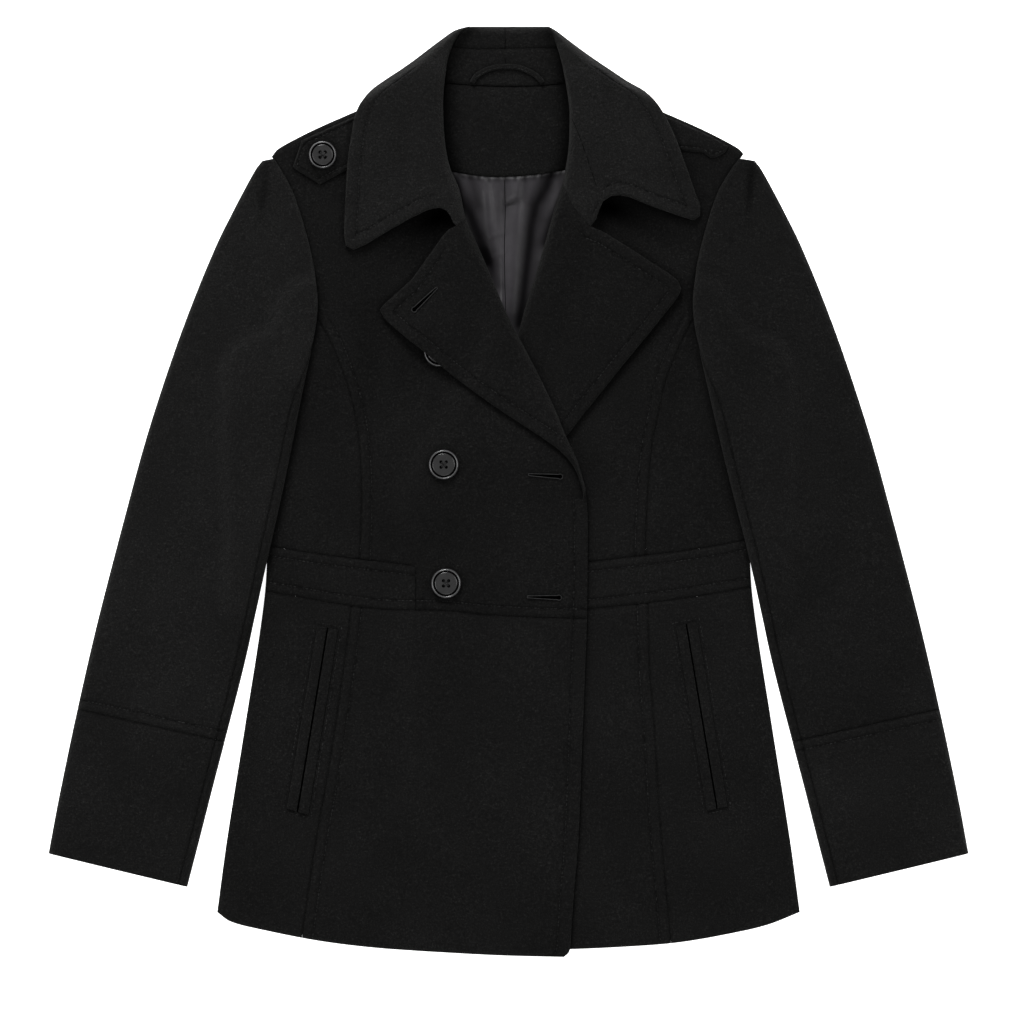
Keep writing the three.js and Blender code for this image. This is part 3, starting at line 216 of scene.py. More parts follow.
ROLL_LINE = {
    -1: table([(2.6, 64.6), (25.5, 57.7), (45.6, 48.5), (69, 39), (101, 23.6), (131.5, 7.6),
               (152, -2.6), (181, -14.7), (206, -25.6), (229, -35.7), (253, -41), (272, -49),
               (291, -52.9), (315, -54.6), (337, -54.2), (356, -51.7), (371, -47.5),
               (383, -40.7), (390.6, -32.3)]),
    1: table([(1.3, -64.3), (39, -38.2), (73, -18.1), (102, -2.9), (132, 7.8), (155, 14.2),
              (177, 21.3), (211, 31.2), (237, 38.4), (258, 45.4), (271, 47.7), (286, 50.1),
              (309, 51.2), (324, 50.7), (350, 46.6), (369, 41.6), (381, 37.4), (390.6, 32.3)]),
}
LAPEL_EDGE = {
    -1: table([(-7, 62.7), (2, 61.8), (17.6, 56.2), (28.6, 48.5), (39.4, 36), (51.8, 17.4),
               (73.5, -15.1), (95.2, -44.6), (117, -71), (133, -91), (145.5, -104.5),
               (152.5, -107.9)]),
    1: table([(-0.4, -62.6), (8, -28.1), (18, 5.5), (30.7, 30.7), (47, 49.1), (66, 63.9),
              (83, 77.9), (103, 93.7), (129, 115.1), (143, 126.4), (163, 142), (169.5, 144.9)]),
}
LAPEL_TOP = {
    -1: steps([(-107.9, 152.5), (-105, 156.6), (-81.1, 177.7), (-59, 208.5), (-51.5, 219),
               (-44.9, 221), (-35.7, 229)]),
    1: steps([(45.4, 258), (54.6, 237.7), (62.6, 227.6), (69, 221.8), (78.1, 218.4),
              (100.9, 204.4), (135, 182.4), (143, 176), (144.9, 169.5)]),
}
WING_FRONT = {
    -1: steps([(-136.4, 206), (-130.2, 202.4), (-119, 207.2), (-100.8, 218.3), (-81.1, 229.3),
               (-66, 236.4), (-57, 237.4), (-51, 234.6), (-48, 229.7), (-44.9, 221.05),
               (-35.7, 229.05)]),
    1: steps([(45.4, 258.05), (54.6, 237.8), (62.6, 227.7), (69, 221.9), (73, 226.5),
              (74.8, 233.1), (79.5, 243.5), (88, 248.5), (98, 247.8), (120.8, 238.6),
              (143.6, 230.7), (155, 227.2), (160.6, 231)]),
}
WING_EDGE = {
    -1: table([(206, -136.4), (214, -137.9), (249, -137), (281, -135.1), (303, -131.8),
               (315, -129.8), (326, -125), (338, -115.6), (347, -103.5), (354, -92.9),
               (362.5, -81), (371, -70), (379.3, -59), (387.7, -46.6), (390.6, -36)]),
    1: table([(231, 160.6), (239, 161), (250, 157.2), (273.6, 149), (296, 141), (308, 135.6),
              (318.4, 130.2), (328.5, 123.2), (337, 114.4), (345, 101), (354, 87.8),
              (362.5, 75.2), (371, 63.4), (379.3, 52.4), (387.7, 41.4), (390.6, 36)]),
}
NOTCH = {-1: (-58, 226), 1: (82, 232)}
# Points of lapel and wing, and where the gorge seam meets the roll line
LAPEL_TIP = {-1: (-107.9, 152.5), 1: (144.9, 169.5)}
LAPEL_GORGE = {-1: (-35.7, 229), 1: (45.4, 258)}
WING_TIP = {-1: (-136.4, 206), 1: (160.6, 231)}
WING_GORGE = {-1: (-35.7, 229.05), 1: (45.4, 258.05)}
WING_SEAM = ((53.3, 312), (75.2, 255))
GORGE_END = {-1: (-50, -45), 1: (73, 67)}

# Inside the neck
neck_seam = table([(-54, 342.3), (-35, 340.6), (-5, 339.4), (24, 339.8), (52, 342.3)])
facing_edge = table([(-66, 271.7), (-46, 268.1), (-23, 264.6), (-3, 264), (24, 265.9),
                     (48, 269.9), (67, 274.3)])
stand_seam = table([(-48, 372.5), (-23, 371), (18, 371.9), (44, 371.7)])
LINING_FOOT_Y = 122
FALL_HALF = 106
fall_top = table([(0, 381), (30, 380), (47, 370), (59, 362), (70, 355), (81, 347),
                  (93, 338.5), (106, 331)])
fall_foot = table([(0, 311), (60, 314.5), (90, 321), (106, 327.5)])

# Sleeves: inner point, outer point and lean, from cuff to shoulder
SLEEVE = np.array([
    (270.1, -331.8, 386, -303.7, 0), (259.6, -291, 378.6, -263.4, 0),
    (249.2, -250, 370.4, -223, 0), (238.8, -210, 361.7, -182.5, 0),
    (221.3, -141.5, 345.5, -112, 0), (202, -54.2, 321.7, -20, 0),
    (186.8, 10, 303, 48, 0.4), (170.5, 85, 281.2, 115, 0.9), (158.4, 146, 262.6, 165, 1),
    (160, 181, 245.5, 206, 1), (166.6, 213, 233, 231.5, 1), (178, 248, 221.5, 253.5, 1),
    (190.3, 270, 212.3, 270, 0.8), (196.6, 279.5, 206.6, 277.5, 0.7),
])
CUFF_ROW = 3
UNDERARM_ROW = 8
UNDER_TOP_ROW = 7.5
TOP_SEAM_LAP = 10.5
ARMHOLE_SEAM_LAP = 0.4
FLOOR_SEAM_SHARE = 0.17
FULL_RADIUS = 4.5

BUTTONS = {"button_top": (-58.4, 117.2), "button_middle": (-54.3, 22.5),
           "button_lower": (-52.3, -77)}
STRAP_BUTTON = (-155.7, 282.1)
BUTTONHOLES = {"buttonhole_upper": (30.8, 13.2, -3.6, False),
               "buttonhole_lower": (29.8, -88.7, -1.4, False),
               "buttonhole_lapel": (-70, 161, 224, True)}
POCKET = {
    -1: {"top_far": (-160.4, -112.7), "top_near": (-142.9, -115.8),
         "foot_far": (-186.1, -266), "foot_near": (-168, -271.2)},
    1: {"top_far": (157.8, -109.1), "top_near": (140.4, -113),
        "foot_far": (183.7, -264.2), "foot_near": (166.3, -267.9)},
}
STRAPS = {
    -1: {"end": [(-158.3, 257.5), (-181, 271.7), (-173.5, 294.4)],
         "lower": [(-158.3, 257.5), (-136.5, 269.2), (-118, 279)],
         "upper": [(-173.5, 294.4), (-129.8, 314.2), (-108, 322)]},
    1: {"end": [(182, 284.5), (184.4, 289.4)],
        "lower": [(182, 284.5), (175.7, 280.8), (169.9, 279.3), (163, 284.2), (145.5, 285.8),
                  (118, 290)],
        "upper": [(184.4, 289.4), (170, 297.6), (146, 308.6), (112, 322)]},
}
LOOP_LINE = [(-30.8, 342.8), (-25.6, 349.4), (-13.9, 354.9), (-1.7, 356.2), (10.5, 354.9),
             (22.6, 349), (28.6, 342.8)]
LOOP_WIDTH = 4.4
LOOP_HEIGHT = 2.8
LOOP_INNER = 0.9

# Soft creases: start, end, half width, height. Troughs are negative
CREASES = [
    ((-128, 214), (-112, 70), 17, -1.5), ((-150, 178), (-134, 96), 10, 0.8),
    ((150, 168), (134, 40), 16, -1.2), ((104, 60), (98, -30), 18, 0.7),
    ((-210, 268), (-206, 236), 4.5, -1.9), ((-201, 262), (-197, 232), 6, 0.8),
    ((206, 274), (201, 234), 4.5, -1.8), ((197, 262), (194, 232), 6, 0.7),
    ((-60, 78), (-62, 46), 3.2, -0.55), ((-70, 66), (-71, 38), 2.6, -0.4),
    ((-46, 70), (-40, 30), 5, 0.5), ((-88, 18), (-92, -44), 11, -0.8),
    ((-28, -20), (-18, -84), 12, 0.7), ((-98, -130), (-116, -300), 17, 0.9),
    ((-66, -190), (-72, -372), 14, -0.9), ((-16, -140), (-8, -340), 19, 0.8),
    ((22, -210), (30, -380), 12, -0.7), ((100, -120), (106, -330), 15, -0.9),
    ((82, -200), (80, -378), 12, 0.7), ((200, -150), (216, -330), 12, -0.9),
    ((-208, -140), (-222, -320), 12, -0.8), ((154, -290), (160, -368), 10, 0.7),
    ((-232, 190), (-256, 60), 15, 0.9), ((-188, 120), (-222, 40), 9, -1.2),
    ((-276, 20), (-300, -120), 18, -0.9), ((-232, -30), (-262, -70), 9, -1.0),
    ((-330, -130), (-316, -40), 13, 0.8), ((-268, -150), (-300, -210), 12, 0.7),
    ((236, 186), (262, 40), 14, 0.9), ((190, 116), (226, 30), 9, -1.3),
    ((286, 0), (318, -150), 17, -0.9), ((228, -40), (262, -84), 9, -1.0),
    ((272, -150), (298, -214), 12, 0.8), ((-310, -240), (-330, -310), 12, -0.7),
    ((318, -232), (330, -300), 12, -0.7), ((180, 268), (150, 262), 7, -0.9),
    ((-120, 246), (-150, 236), 9, -0.8), ((120, 214), (146, 200), 10, -1.0),
]
# The back's own creases lie hidden below, very shallow, because it rests flat
BACK_CREASES = [((-90, 220), (-60, 40), 18, 0.4), ((70, 200), (96, 30), 15, 0.35),
                ((-150, -120), (-170, -330), 14, 0.35), ((20, -110), (36, -350), 17, 0.4),
                ((140, -150), (156, -300), 13, 0.3)]
# The lining's folds: path, half width, height, and how much painted shade darkens the satin along it
LINING_FOLDS = [
    ([(-50, 262), (-43, 246), (-33, 232), (-25, 212), (-20, 192)], 6.5, -1.9, 0.90),
    ([(36, 268), (31, 254), (23, 240), (19, 222), (17, 204), (15, 186), (12, 162), (9, 140)],
     5.2, -1.7, 0.88),
    ([(44, 240), (37, 226), (32, 208)], 3.8, -1.0, 0.8), ([(-20, 200), (-10, 172)], 4.0, -0.8, 0.5),
    ([(-30, 262), (-25, 240)], 3.0, -0.7, 0.45),
    ([(-4, 262), (-5, 236)], 2.6, -0.5, 0.3), ([(14, 262), (10, 246)], 2.2, -0.6, 0.4),
    ([(-18, 266), (-15, 226), (-12, 184), (-7, 152)], 5.5, 1.2, 0.0),
    ([(9, 266), (5, 228), (4, 188), (3, 150)], 5.0, 1.1, 0.0),
    ([(-62, 262), (-47, 226), (-33, 190)], 4.5, 1.0, 0.0),
    ([(47, 262), (37, 228), (30, 196)], 4.5, 1.1, 0.0),
    ([(-1, 243), (6, 247)], 1.6, 0.9, 0.0), ([(-1, 240), (5, 242)], 1.4, -0.8, 0.5),
    ([(-14, 214), (-5, 217)], 2.0, 0.6, 0.0), ([(-13, 196), (-5, 200)], 2.0, 0.6, 0.0),
]
LINING_BASE = 1.8
# Painted light and shade: how much lighter or darker each panel is painted, and painted shadows in hollows:
# x, y, turn, reach along, across, depth
PANEL_PAINTED_TONE = {"collar_wing": 1.22, "lapel": 0.88, "sleeve_upper_left": 1.2, "sleeve_upper_right": 1.03,
       "cuff": 1.12, "side_front": 0.92, "centre_front": 0.92}
PAINTED_SHADOWS = {
    "centre_front_left": [(-57, 231, 25, 25, 13, 0.985), (-75, 216, 25, 44, 22, 0.5),
                          (-118, 120, 80, 60, 16, 0.2), (-66, 128, -40, 40, 12, 0.35)],
    "centre_front_right": [(82, 239, -17, 27, 12, 0.985), (108, 229, -17, 44, 17, 0.5),
                           (112, 128, 48, 50, 10, 0.4)],
    "side_front": [(-146, 120, 80, 50, 14, 0.2), (144, 118, 80, 50, 14, 0.2)],
    "sleeve_upper_left": [(-205, 252, 84, 22, 4, 0.45)],
    "sleeve_upper_right": [(203, 256, 84, 24, 4, 0.45)],
}
# Pieces inside the neck that are painted darker along both roll lines: painted shade under the collar
INSIDE_NECK = ("back_neck_facing", "collar_inside", "collar_stand")
# Small gathers where the lining is sewn to the facing: x, half width, height
GATHERS = [(-58, 3, 0.5), (-49, 2.4, 0.6), (-41, 2.8, 0.7), (-27, 2.2, 0.5), (-19, 2.6, 0.6),
           (-7, 2.0, 0.45), (9, 2.4, 0.6), (23, 2.2, 0.5), (29, 2.0, 0.6), (43, 2.8, 0.7),
           (52, 2.4, 0.6), (60, 2.6, 0.5)]


# Curves: functions of a share t of their length that return points
def even(points):
    """A path with even speed along its length."""
    points = np.asarray(points, float)
    reach = np.concatenate([[0], np.cumsum(np.hypot(*np.diff(points, axis=0).T))])

    def curve(t):
        s = clamp(np.asarray(t, float)) * reach[-1]
        return np.stack([np.interp(s, reach, points[:, k]) for k in (0, 1)], -1)

    return curve


CURVE_SHARES = np.linspace(0, 1, 161)


def way_off(x, y, path):
    """Distance from a path of straight runs."""
    nearest = np.full(np.shape(x), np.inf)
    for (ax, ay), (bx, by) in zip(path, path[1:]):
        length = (bx - ax) ** 2 + (by - ay) ** 2
        t = clamp(((x - ax) * (bx - ax) + (y - ay) * (by - ay)) / length)
        nearest = np.minimum(nearest, np.hypot(x - mix(ax, bx, t), y - mix(ay, by, t)))
    return nearest


def across(height_at, a, b):
    """A seam that runs across the coat, from a to b."""
    x = mix(a[0], b[0], CURVE_SHARES)
    return even(np.stack([x, height_at(x)], -1))


def upright(x_at, a, b):
    """A seam that runs up the coat, from a to b."""
    y = mix(a[1], b[1], CURVE_SHARES)
    return even(np.stack([x_at(y), y], -1))


def four_seams(corners, lines, names):
    """A panel's seams: outer, inner, bottom and top line, with the names of its corners."""
    foot_out, head_out, foot_in, head_in = (corners[name] for name in names)
    outer, inner, bottom, top = lines
    return {"outer": upright(outer, foot_out, head_out), "inner": upright(inner, foot_in, head_in),
            "bottom": across(bottom, foot_out, foot_in), "top": across(top, head_out, head_in)}


def kinds_of(*kinds):
    return dict(zip(SIDES, kinds))


def meet(x_at, height_at, start):
    """Where a line given by height crosses a line given by x."""
    y = start
    for _ in range(40):
        y = mix(y, float(height_at(x_at(y))), 0.7)
    return (float(x_at(y)), y)


def outline(curves, count=24):
    return np.concatenate([c(np.arange(count) / count) for c in curves])


RASTER_HALF = 402.0
RASTER_STEP = 2.0


def depth_of(points):
    """A function that gives how deep a point lies inside an outline: negative outside it."""
    points = np.asarray(points, float)
    axis = np.arange(-RASTER_HALF, RASTER_HALF + RASTER_STEP, RASTER_STEP)
    x, y = np.meshgrid(axis, axis)
    nearest = np.full(x.shape, np.inf)
    inside = np.zeros(x.shape, bool)
    for (ax, ay), (bx, by) in zip(np.roll(points, 1, axis=0), points):
        length = (bx - ax) ** 2 + (by - ay) ** 2 or 1.0
        t = clamp(((x - ax) * (bx - ax) + (y - ay) * (by - ay)) / length)
        nearest = np.minimum(nearest, (x - mix(ax, bx, t)) ** 2 + (y - mix(ay, by, t)) ** 2)
        if ay != by:
            inside ^= ((ay > y) != (by > y)) & (x < ax + (bx - ax) * (y - ay) / (by - ay))
    raster = np.where(inside, 1, -1) * np.sqrt(nearest)
    last = len(axis) - 2

    def at(x, y):
        u = (np.asarray(x, float) + RASTER_HALF) / RASTER_STEP
        v = (np.asarray(y, float) + RASTER_HALF) / RASTER_STEP
        i = np.clip(np.floor(u).astype(int), 0, last)
        j = np.clip(np.floor(v).astype(int), 0, last)
        s, t = clamp(u - i), clamp(v - j)
        low = mix(raster[j, i], raster[j, i + 1], s)
        high = mix(raster[j + 1, i], raster[j + 1, i + 1], s)
        return mix(low, high, t)

    return at


def drape(region, x, y, run, lead):
    """Cloth lying over a region's edge: 1 a little outside the region, 0 from the run outwards."""
    return smooth(-lead - run, -lead, region(x, y))


def lean_at(y):
    """How far the body leans to the left between underarm and shoulder."""
    return ARMHOLE_LEAN * smooth(SIDE_TOP_Y, UNDERARM_Y, y) * (1 - 0.4 * smooth(260, 282, y))


def body_half(y):
    y = np.asarray(y, float)
    upper = np.where(y < UNDERARM_Y, underarm_half(y), armhole_half(y))
    return np.where(y < SIDE_TOP_Y, side_half(y), upper)


def body_side(side):
    return lambda y: side * body_half(y) + lean_at(y)


def shoulder_line(x):
    return shoulder_table(np.abs(x))


def back_hem(x):
    return HEM[1](np.abs(x)) + 1.5


def corners(side):
    """The named points of one half, where its lines cross."""
    edge = body_side(side)
    front = front_edge if side < 0 else hidden_edge
    return {
        "hem_side": meet(edge, HEM[side], -353), "band_foot_side": meet(edge, BAND_BOTTOM[side], -83),
        "band_top_side": meet(edge, BAND_TOP[side], -45),
        "side_top": (float(edge(SIDE_TOP_Y)), SIDE_TOP_Y),
        "underarm": (float(edge(UNDERARM_Y)), UNDERARM_Y),
        "shoulder": meet(edge, shoulder_line, SHOULDER_Y),
        "hem_seam": meet(SKIRT_SEAM[side], HEM[side], -375),
        "band_foot_seam": meet(SKIRT_SEAM[side], BAND_BOTTOM[side], -95),
        "band_top_seam": meet(PRINCESS[side], BAND_TOP[side], -55),
        "hem_front": meet(front, HEM[side], -388),
        "band_foot_front": meet(front, BAND_BOTTOM[side], -104),
        "band_top_front": meet(front, BAND_TOP[side], -66),
        "neck": (side * 60, 345.6),
    }


CORNERS = {side: corners(side) for side in (-1, 1)}


def front_line(side, tuck=TUCK):
    """Up the front edge, then tucked in behind the roll line."""
    below = front_edge if side < 0 else hidden_edge
    roll = ROLL_LINE[side]

    def at(y):
        y = np.asarray(y, float)
        slant = np.hypot(1, roll(y + 1) - roll(y))
        above = roll(y) + side * tuck * slant * smooth(*TUCK_FROM[side], y)
        return np.where(y < BREAK_Y, below(y), above)

    return at


def body_curves():
    left, right = CORNERS[-1], CORNERS[1]
    return [
        across(HEM[-1], left["hem_side"], (45, 0)), across(HEM[1], (45, 0), right["hem_side"]),
        upright(body_side(1), right["hem_side"], right["side_top"]),
        upright(body_side(1), right["side_top"], right["underarm"]),
        upright(body_side(1), right["underarm"], right["shoulder"]),
        across(shoulder_line, right["shoulder"], (30, 0)),
        across(shoulder_line, (-30, 0), left["shoulder"]),
        upright(body_side(-1), left["shoulder"], left["underarm"]),
        upright(body_side(-1), left["underarm"], left["side_top"]),
        upright(body_side(-1), left["side_top"], left["hem_side"]),
    ]


def under_sleeve(side):
    c = CORNERS[side]
    edge = outline([upright(body_side(side), (0, -90), c["side_top"]),
                    upright(body_side(side), c["side_top"], c["underarm"])], 12)
    return np.concatenate([edge, [c["underarm"], (side * 120, 100), (side * 120, -90)]])


def lapel_outline(side):
    foot = -7 if side < 0 else -0.4
    tip, gorge = LAPEL_TIP[side], LAPEL_GORGE[side]
    return outline([upright(LAPEL_EDGE[side], (0, foot), (0, tip[1])),
                    across(LAPEL_TOP[side], (tip[0], 0), (gorge[0], 0)),
                    upright(ROLL_LINE[side], (0, gorge[1]), (0, BREAK_Y if side < 0 else 1.3))])


def strap_outline(side):
    s = STRAPS[side]
    return s["end"] + s["upper"][1:] + s["lower"][::-1][:-1]


in_body = depth_of(outline(body_curves(), 20))
in_neck = depth_of(outline([
    upright(lambda y: ROLL_LINE[-1](y) - HIDDEN_MARGIN, (0, 345), (0, LINING_FOOT_Y)),
    upright(lambda y: ROLL_LINE[1](y) + HIDDEN_MARGIN, (0, LINING_FOOT_Y), (0, 345)),
]))
in_right_front = depth_of(np.concatenate([
    [(-52.5, -400)], outline([upright(front_line(1, 0), (0, -385), (0, 350))], 40),
    [(300, 350), (300, -400)],
]))
in_lapel = {side: depth_of(lapel_outline(side)) for side in (-1, 1)}
in_strap = {side: depth_of(strap_outline(side)) for side in (-1, 1)}
in_sleeve = {side: depth_of(under_sleeve(side)) for side in (-1, 1)}


# Heights of the layers
def neck_rise(y):
    """The back rises over the collar's fall behind the neck."""
    return NECK_RISE * smooth(252, 306, y)


def back_top(y):
    return BACK + neck_rise(y)


def rim(x, y):
    """The front's thickness by place: rounded at the edge, full at the armhole."""
    armhole = smooth(100, 136, y) * (1 - smooth(262, 284, y))
    return np.maximum(mix(0.28, 0.82, armhole), quarter(in_body(x, y) / RIM))


def right_under(x, y):
    """Underside of the right front, on the back and the facing."""
    lift = BODY_LIFT * smooth(0, 45, in_body(x, y))
    return back_top(y) + REST + lift + (FACING + REST) * drape(in_neck, x, y, *NECK_DRAPE)


def turn_gap(side, x, y):
    """Air under a lapel, most near the notch."""
    nx, ny = NOTCH[side]
    return LOW_GAP + NOTCH_FLOAT * np.exp(-((x - nx) ** 2 + (y - ny) ** 2) / (2 * NOTCH_REACH ** 2))


def left_under(x, y):
    """Underside of the left front, on the right front and its lapel."""
    overlap = (CLOTH + REST + STEP_REST) * drape(in_right_front, x, y, *OVERLAP_DRAPE)
    lapel = (turn_gap(1, x, y) + TURNED + REST) * drape(in_lapel[1], x, y, *LAPEL_DRAPE)
    return right_under(x, y) + overlap + lapel


under = {-1: left_under, 1: right_under}


def front_top(side, x, y):
    return under[side](x, y) + CLOTH


def seat(x, y, radius):
    """The highest cloth under a button."""
    a = np.arange(16) * math.pi / 8
    return float(front_top(-1, x + radius * np.cos(a), y + radius * np.sin(a)).max())


button_top_z = seat(*BUTTONS["button_top"], BUTTON_RADIUS) + GAP + BUTTON_HEIGHT + REST


def turn_under(side, x, y):
    """Underside of the turned lapel, propped by the top button."""
    low = front_top(side, x, y) + turn_gap(side, x, y)
    if side > 0:
        return low
    bx, by = BUTTONS["button_top"]
    near, far = (BUTTON_RADIUS + d for d in BUTTON_SLOPE)
    share = 1 - smooth(near, far, np.hypot(x - bx, y - by))
    return np.maximum(low, mix(low, button_top_z, share))


def wing_under(side, x, y):
    """Underside of a collar wing, over the epaulette."""
    on_front = turn_under(side, x, y) + (STRAP + GAP) * drape(in_strap[side], x, y, *STRAP_DRAPE)
    return mix(on_front, STAND_TOP - TURNED, smooth(338, COLLAR_TOP_Y, y))


def roll_foot(side, x, y):
    return mix(under[side](x, y), NECK_RISE, smooth(349, 358, y))


def wrap_share(y):
    """How far the wing's outer edge has turned round to the collar's fall."""
    return smooth(322, 345, y)


def inner_turn(d):
    return np.where(d < TURNED, 0.0, quarter((d - TURNED) / (ROLL - TURNED)))


def lapel_under(side, x, y, e):
    return mix(under[side](x, y), turn_under(side, x, y), inner_turn(e["inner"]))


def lapel_top(side, x, y, e):
    return mix(under[side](x, y), turn_under(side, x, y) + TURNED,
               np.maximum(0.1, quarter(e["inner"] / ROLL)))


def wing_bottom(side, x, y, e):
    outer = np.where(e["outer"] < TURNED, 0.0, quarter((e["outer"] - TURNED) / (WRAP - TURNED)))
    over = mix(roll_foot(side, x, y), wing_under(side, x, y), inner_turn(e["inner"]))
    return over * mix(1, outer, wrap_share(y))


def wing_top(side, x, y, e):
    inner = np.maximum(0.12, quarter(e["inner"] / ROLL))
    outer = np.maximum(0.1, quarter(e["outer"] / WRAP))
    over = mix(roll_foot(side, x, y), wing_under(side, x, y) + TURNED, inner)
    return over * mix(1, outer, wrap_share(y))


def relief(x, y, creases=CREASES):
    """Listed creases on a slow unevenness of the cloth."""
    total = 0.28 * (np.sin(x / 31 + y / 57 + 0.7) + np.sin(x / 67 - y / 38 + 2.1)
                    + 0.6 * np.sin(x / 19 - y / 83 + 4.0))
    for (ax, ay), (bx, by), half, height in creases:
        length = math.hypot(bx - ax, by - ay)
        along = ((x - ax) * (bx - ax) + (y - ay) * (by - ay)) / length
        off = ((x - ax) * (by - ay) - (y - ay) * (bx - ax)) / length
        fade = smooth(-0.3 * length, 0.25 * length, along)
        fade = fade * (1 - smooth(0.7 * length, 1.25 * length, along))
        bow = off - 0.05 * length * np.sin(math.pi * clamp(along / length))
        total = total + height * fade * bell(bow / half)
    return total


def calm_relief(x, y):
    """The creases, smoothed out towards the body's edge."""
    return smooth(0, CALM_EDGE, in_body(x, y)) * relief(x, y)


def front_skin(side, x, y):
    return under[side](x, y) + CLOTH * rim(x, y) + calm_relief(x, y)


def cut_edge(d):
    """The share of the thickness that a cut edge loses as it rounds off."""
    return CUT_SHARE * (1 - quarter(d / CUT_RADIUS))


# Materials
# Painted shade in crevices: how far the occlusion node looks, in m, and its samples
CREVICE_SHADE_REACH = 0.007
CREVICE_SHADE_SAMPLES = 4
WOOL_TONES = (0.0014, 0.0042, 0.04)


def rgb(r, g, b):
    return (r, g, b, 1.0)


def grey(tone):
    return rgb(tone, tone, tone)


class Look:
    """A procedural material: its shader, and nodes that read the object's own coordinates."""

    def __init__(self, name):
        self.material = bpy.data.materials.new(name)
        self.material.use_nodes = True
        self.nodes, self.links = self.material.node_tree.nodes, self.material.node_tree.links
        self.shader = self.nodes["Principled BSDF"]
        self.place = self.nodes.new("ShaderNodeTexCoord").outputs["Object"]

    def give(self, node, inputs):
        """Links a socket to an input, or sets the input to a plain value."""
        for key, value in inputs.items():
            if isinstance(value, bpy.types.NodeSocket):
                self.links.new(value, node.inputs[key])
            else:
                node.inputs[key].default_value = value

    def add(self, kind, inputs, **settings):
        node = self.nodes.new(f"ShaderNode{kind}")
        for key, value in settings.items():
            setattr(node, key, value)
        self.give(node, inputs)
        return node

    def noise(self, scale, detail, rough, vector=None):
        node = self.add("TexNoise", {"Scale": scale, "Detail": detail, "Roughness": rough,
                                     "Vector": vector or self.place})
        return node.outputs["Fac"]

    def ramp(self, source, *stops):
        node = self.nodes.new("ShaderNodeValToRGB")
        while len(node.color_ramp.elements) < len(stops):
            node.color_ramp.elements.new(0.5)
        for element, (place, colour) in zip(node.color_ramp.elements, stops):
            element.position = place
            element.color = colour
        self.give(node, {"Fac": source})
        return node.outputs["Color"]

    def bump(self, height, distance, strength, below=None):
        inputs = {"Strength": strength, "Distance": distance, "Height": height}
        if below is not None:
            inputs["Normal"] = below
        return self.add("Bump", inputs).outputs["Normal"]

    def painted_shading(self):
        """The mesh's painted light and shade, read from its own attribute."""
        return self.add("Attribute", {}, attribute_name="painted_shading").outputs["Fac"]

    def with_painted_shading(self, colour):
        """The colour times the mesh's painted light and shade, with painted shade in crevices from an
        occlusion node.
        """
        own = self.painted_shading()
        crevice_shade = self.add("AmbientOcclusion", {"Distance": CREVICE_SHADE_REACH}, samples=CREVICE_SHADE_SAMPLES)
        power = self.add("Math", {0: own, 1: crevice_shade.outputs["AO"]}, operation="MULTIPLY")
        scaled = self.add("VectorMath", {0: colour, "Scale": power.outputs["Value"]}, operation="SCALE")
        return scaled.outputs["Vector"]

    def shine(self, weights):
        """Shine and sheen scaled by the mesh's painted light and shade, so that the painted shadows stay
        dark.
        """
        own = self.painted_shading()
        for socket, weight in weights.items():
            scaled = self.add("Math", {1: weight, 0: own}, operation="MULTIPLY")
            self.give(self.shader, {socket: scaled.outputs["Value"]})


def wool_material(name, shade=1.0):
    """Melton: a felted near-black pile with fine lighter fibres and slow cloudy changes of tone, times the
    painted light and shade.
    """
    look = Look(name)
    fibres = look.noise(scale=760, detail=5, rough=0.82)
    clumps = look.noise(scale=230, detail=3, rough=0.65)
    clouds = look.noise(scale=14, detail=3, rough=0.55)
    dark, mid, light = (tone * shade for tone in WOOL_TONES)
    base = look.ramp(fibres, (0.36, grey(dark)), (0.54, rgb(mid, mid, mid * 0.99)),
                     (0.64, rgb(light * 0.34, light * 0.34, light * 0.33)), (0.74, grey(light)))
    slow = look.ramp(clouds, (0.3, grey(0.8)), (0.7, grey(1.2)))
    tint = look.add("Mix", {"Factor": 1.0, "A": base, "B": slow}, data_type="RGBA", blend_type="MULTIPLY")
    look.give(look.shader, {"Base Color": look.with_painted_shading(tint.outputs["Result"]), "Roughness": 0.92})
    look.shine({"Specular IOR Level": 0.05, "Sheen Weight": 0.03})
    soft = look.bump(clumps, distance=0.0022, strength=0.9)
    look.give(look.shader, {"Sheen Roughness": 0.45, "Sheen Tint": rgb(1.0, 1.0, 0.98),
                            "Normal": look.bump(fibres, distance=0.0011, strength=1.0, below=soft)})
    return look.material


def satin_material():
    """Lining satin: a fine twill line, strong soft highlights."""
    look = Look("lining_satin")
    stretch = look.add("Mapping", {"Scale": (1.0, 0.22, 1.0), "Rotation": (0, 0, 0.5),
                                   "Vector": look.place})
    threads = look.noise(scale=1500, detail=2, rough=0.6, vector=stretch.outputs["Vector"])
    ripple = look.noise(scale=60, detail=3, rough=0.5)
    base = look.ramp(ripple, (0.3, rgb(0.0125, 0.0113, 0.0134)), (0.7, rgb(0.021, 0.019, 0.0225)))
    look.give(look.shader, {"Base Color": look.with_painted_shading(base)})
    look.give(look.shader, {"Roughness": look.ramp(threads, (0.3, grey(0.36)), (0.7, grey(0.46)))})
    look.shine({"Specular IOR Level": 0.3, "Sheen Weight": 0.02})
    soft = look.bump(ripple, distance=0.0015, strength=0.4)
    look.give(look.shader, {"Normal": look.bump(threads, distance=0.0002, strength=0.35, below=soft)})
    return look.material


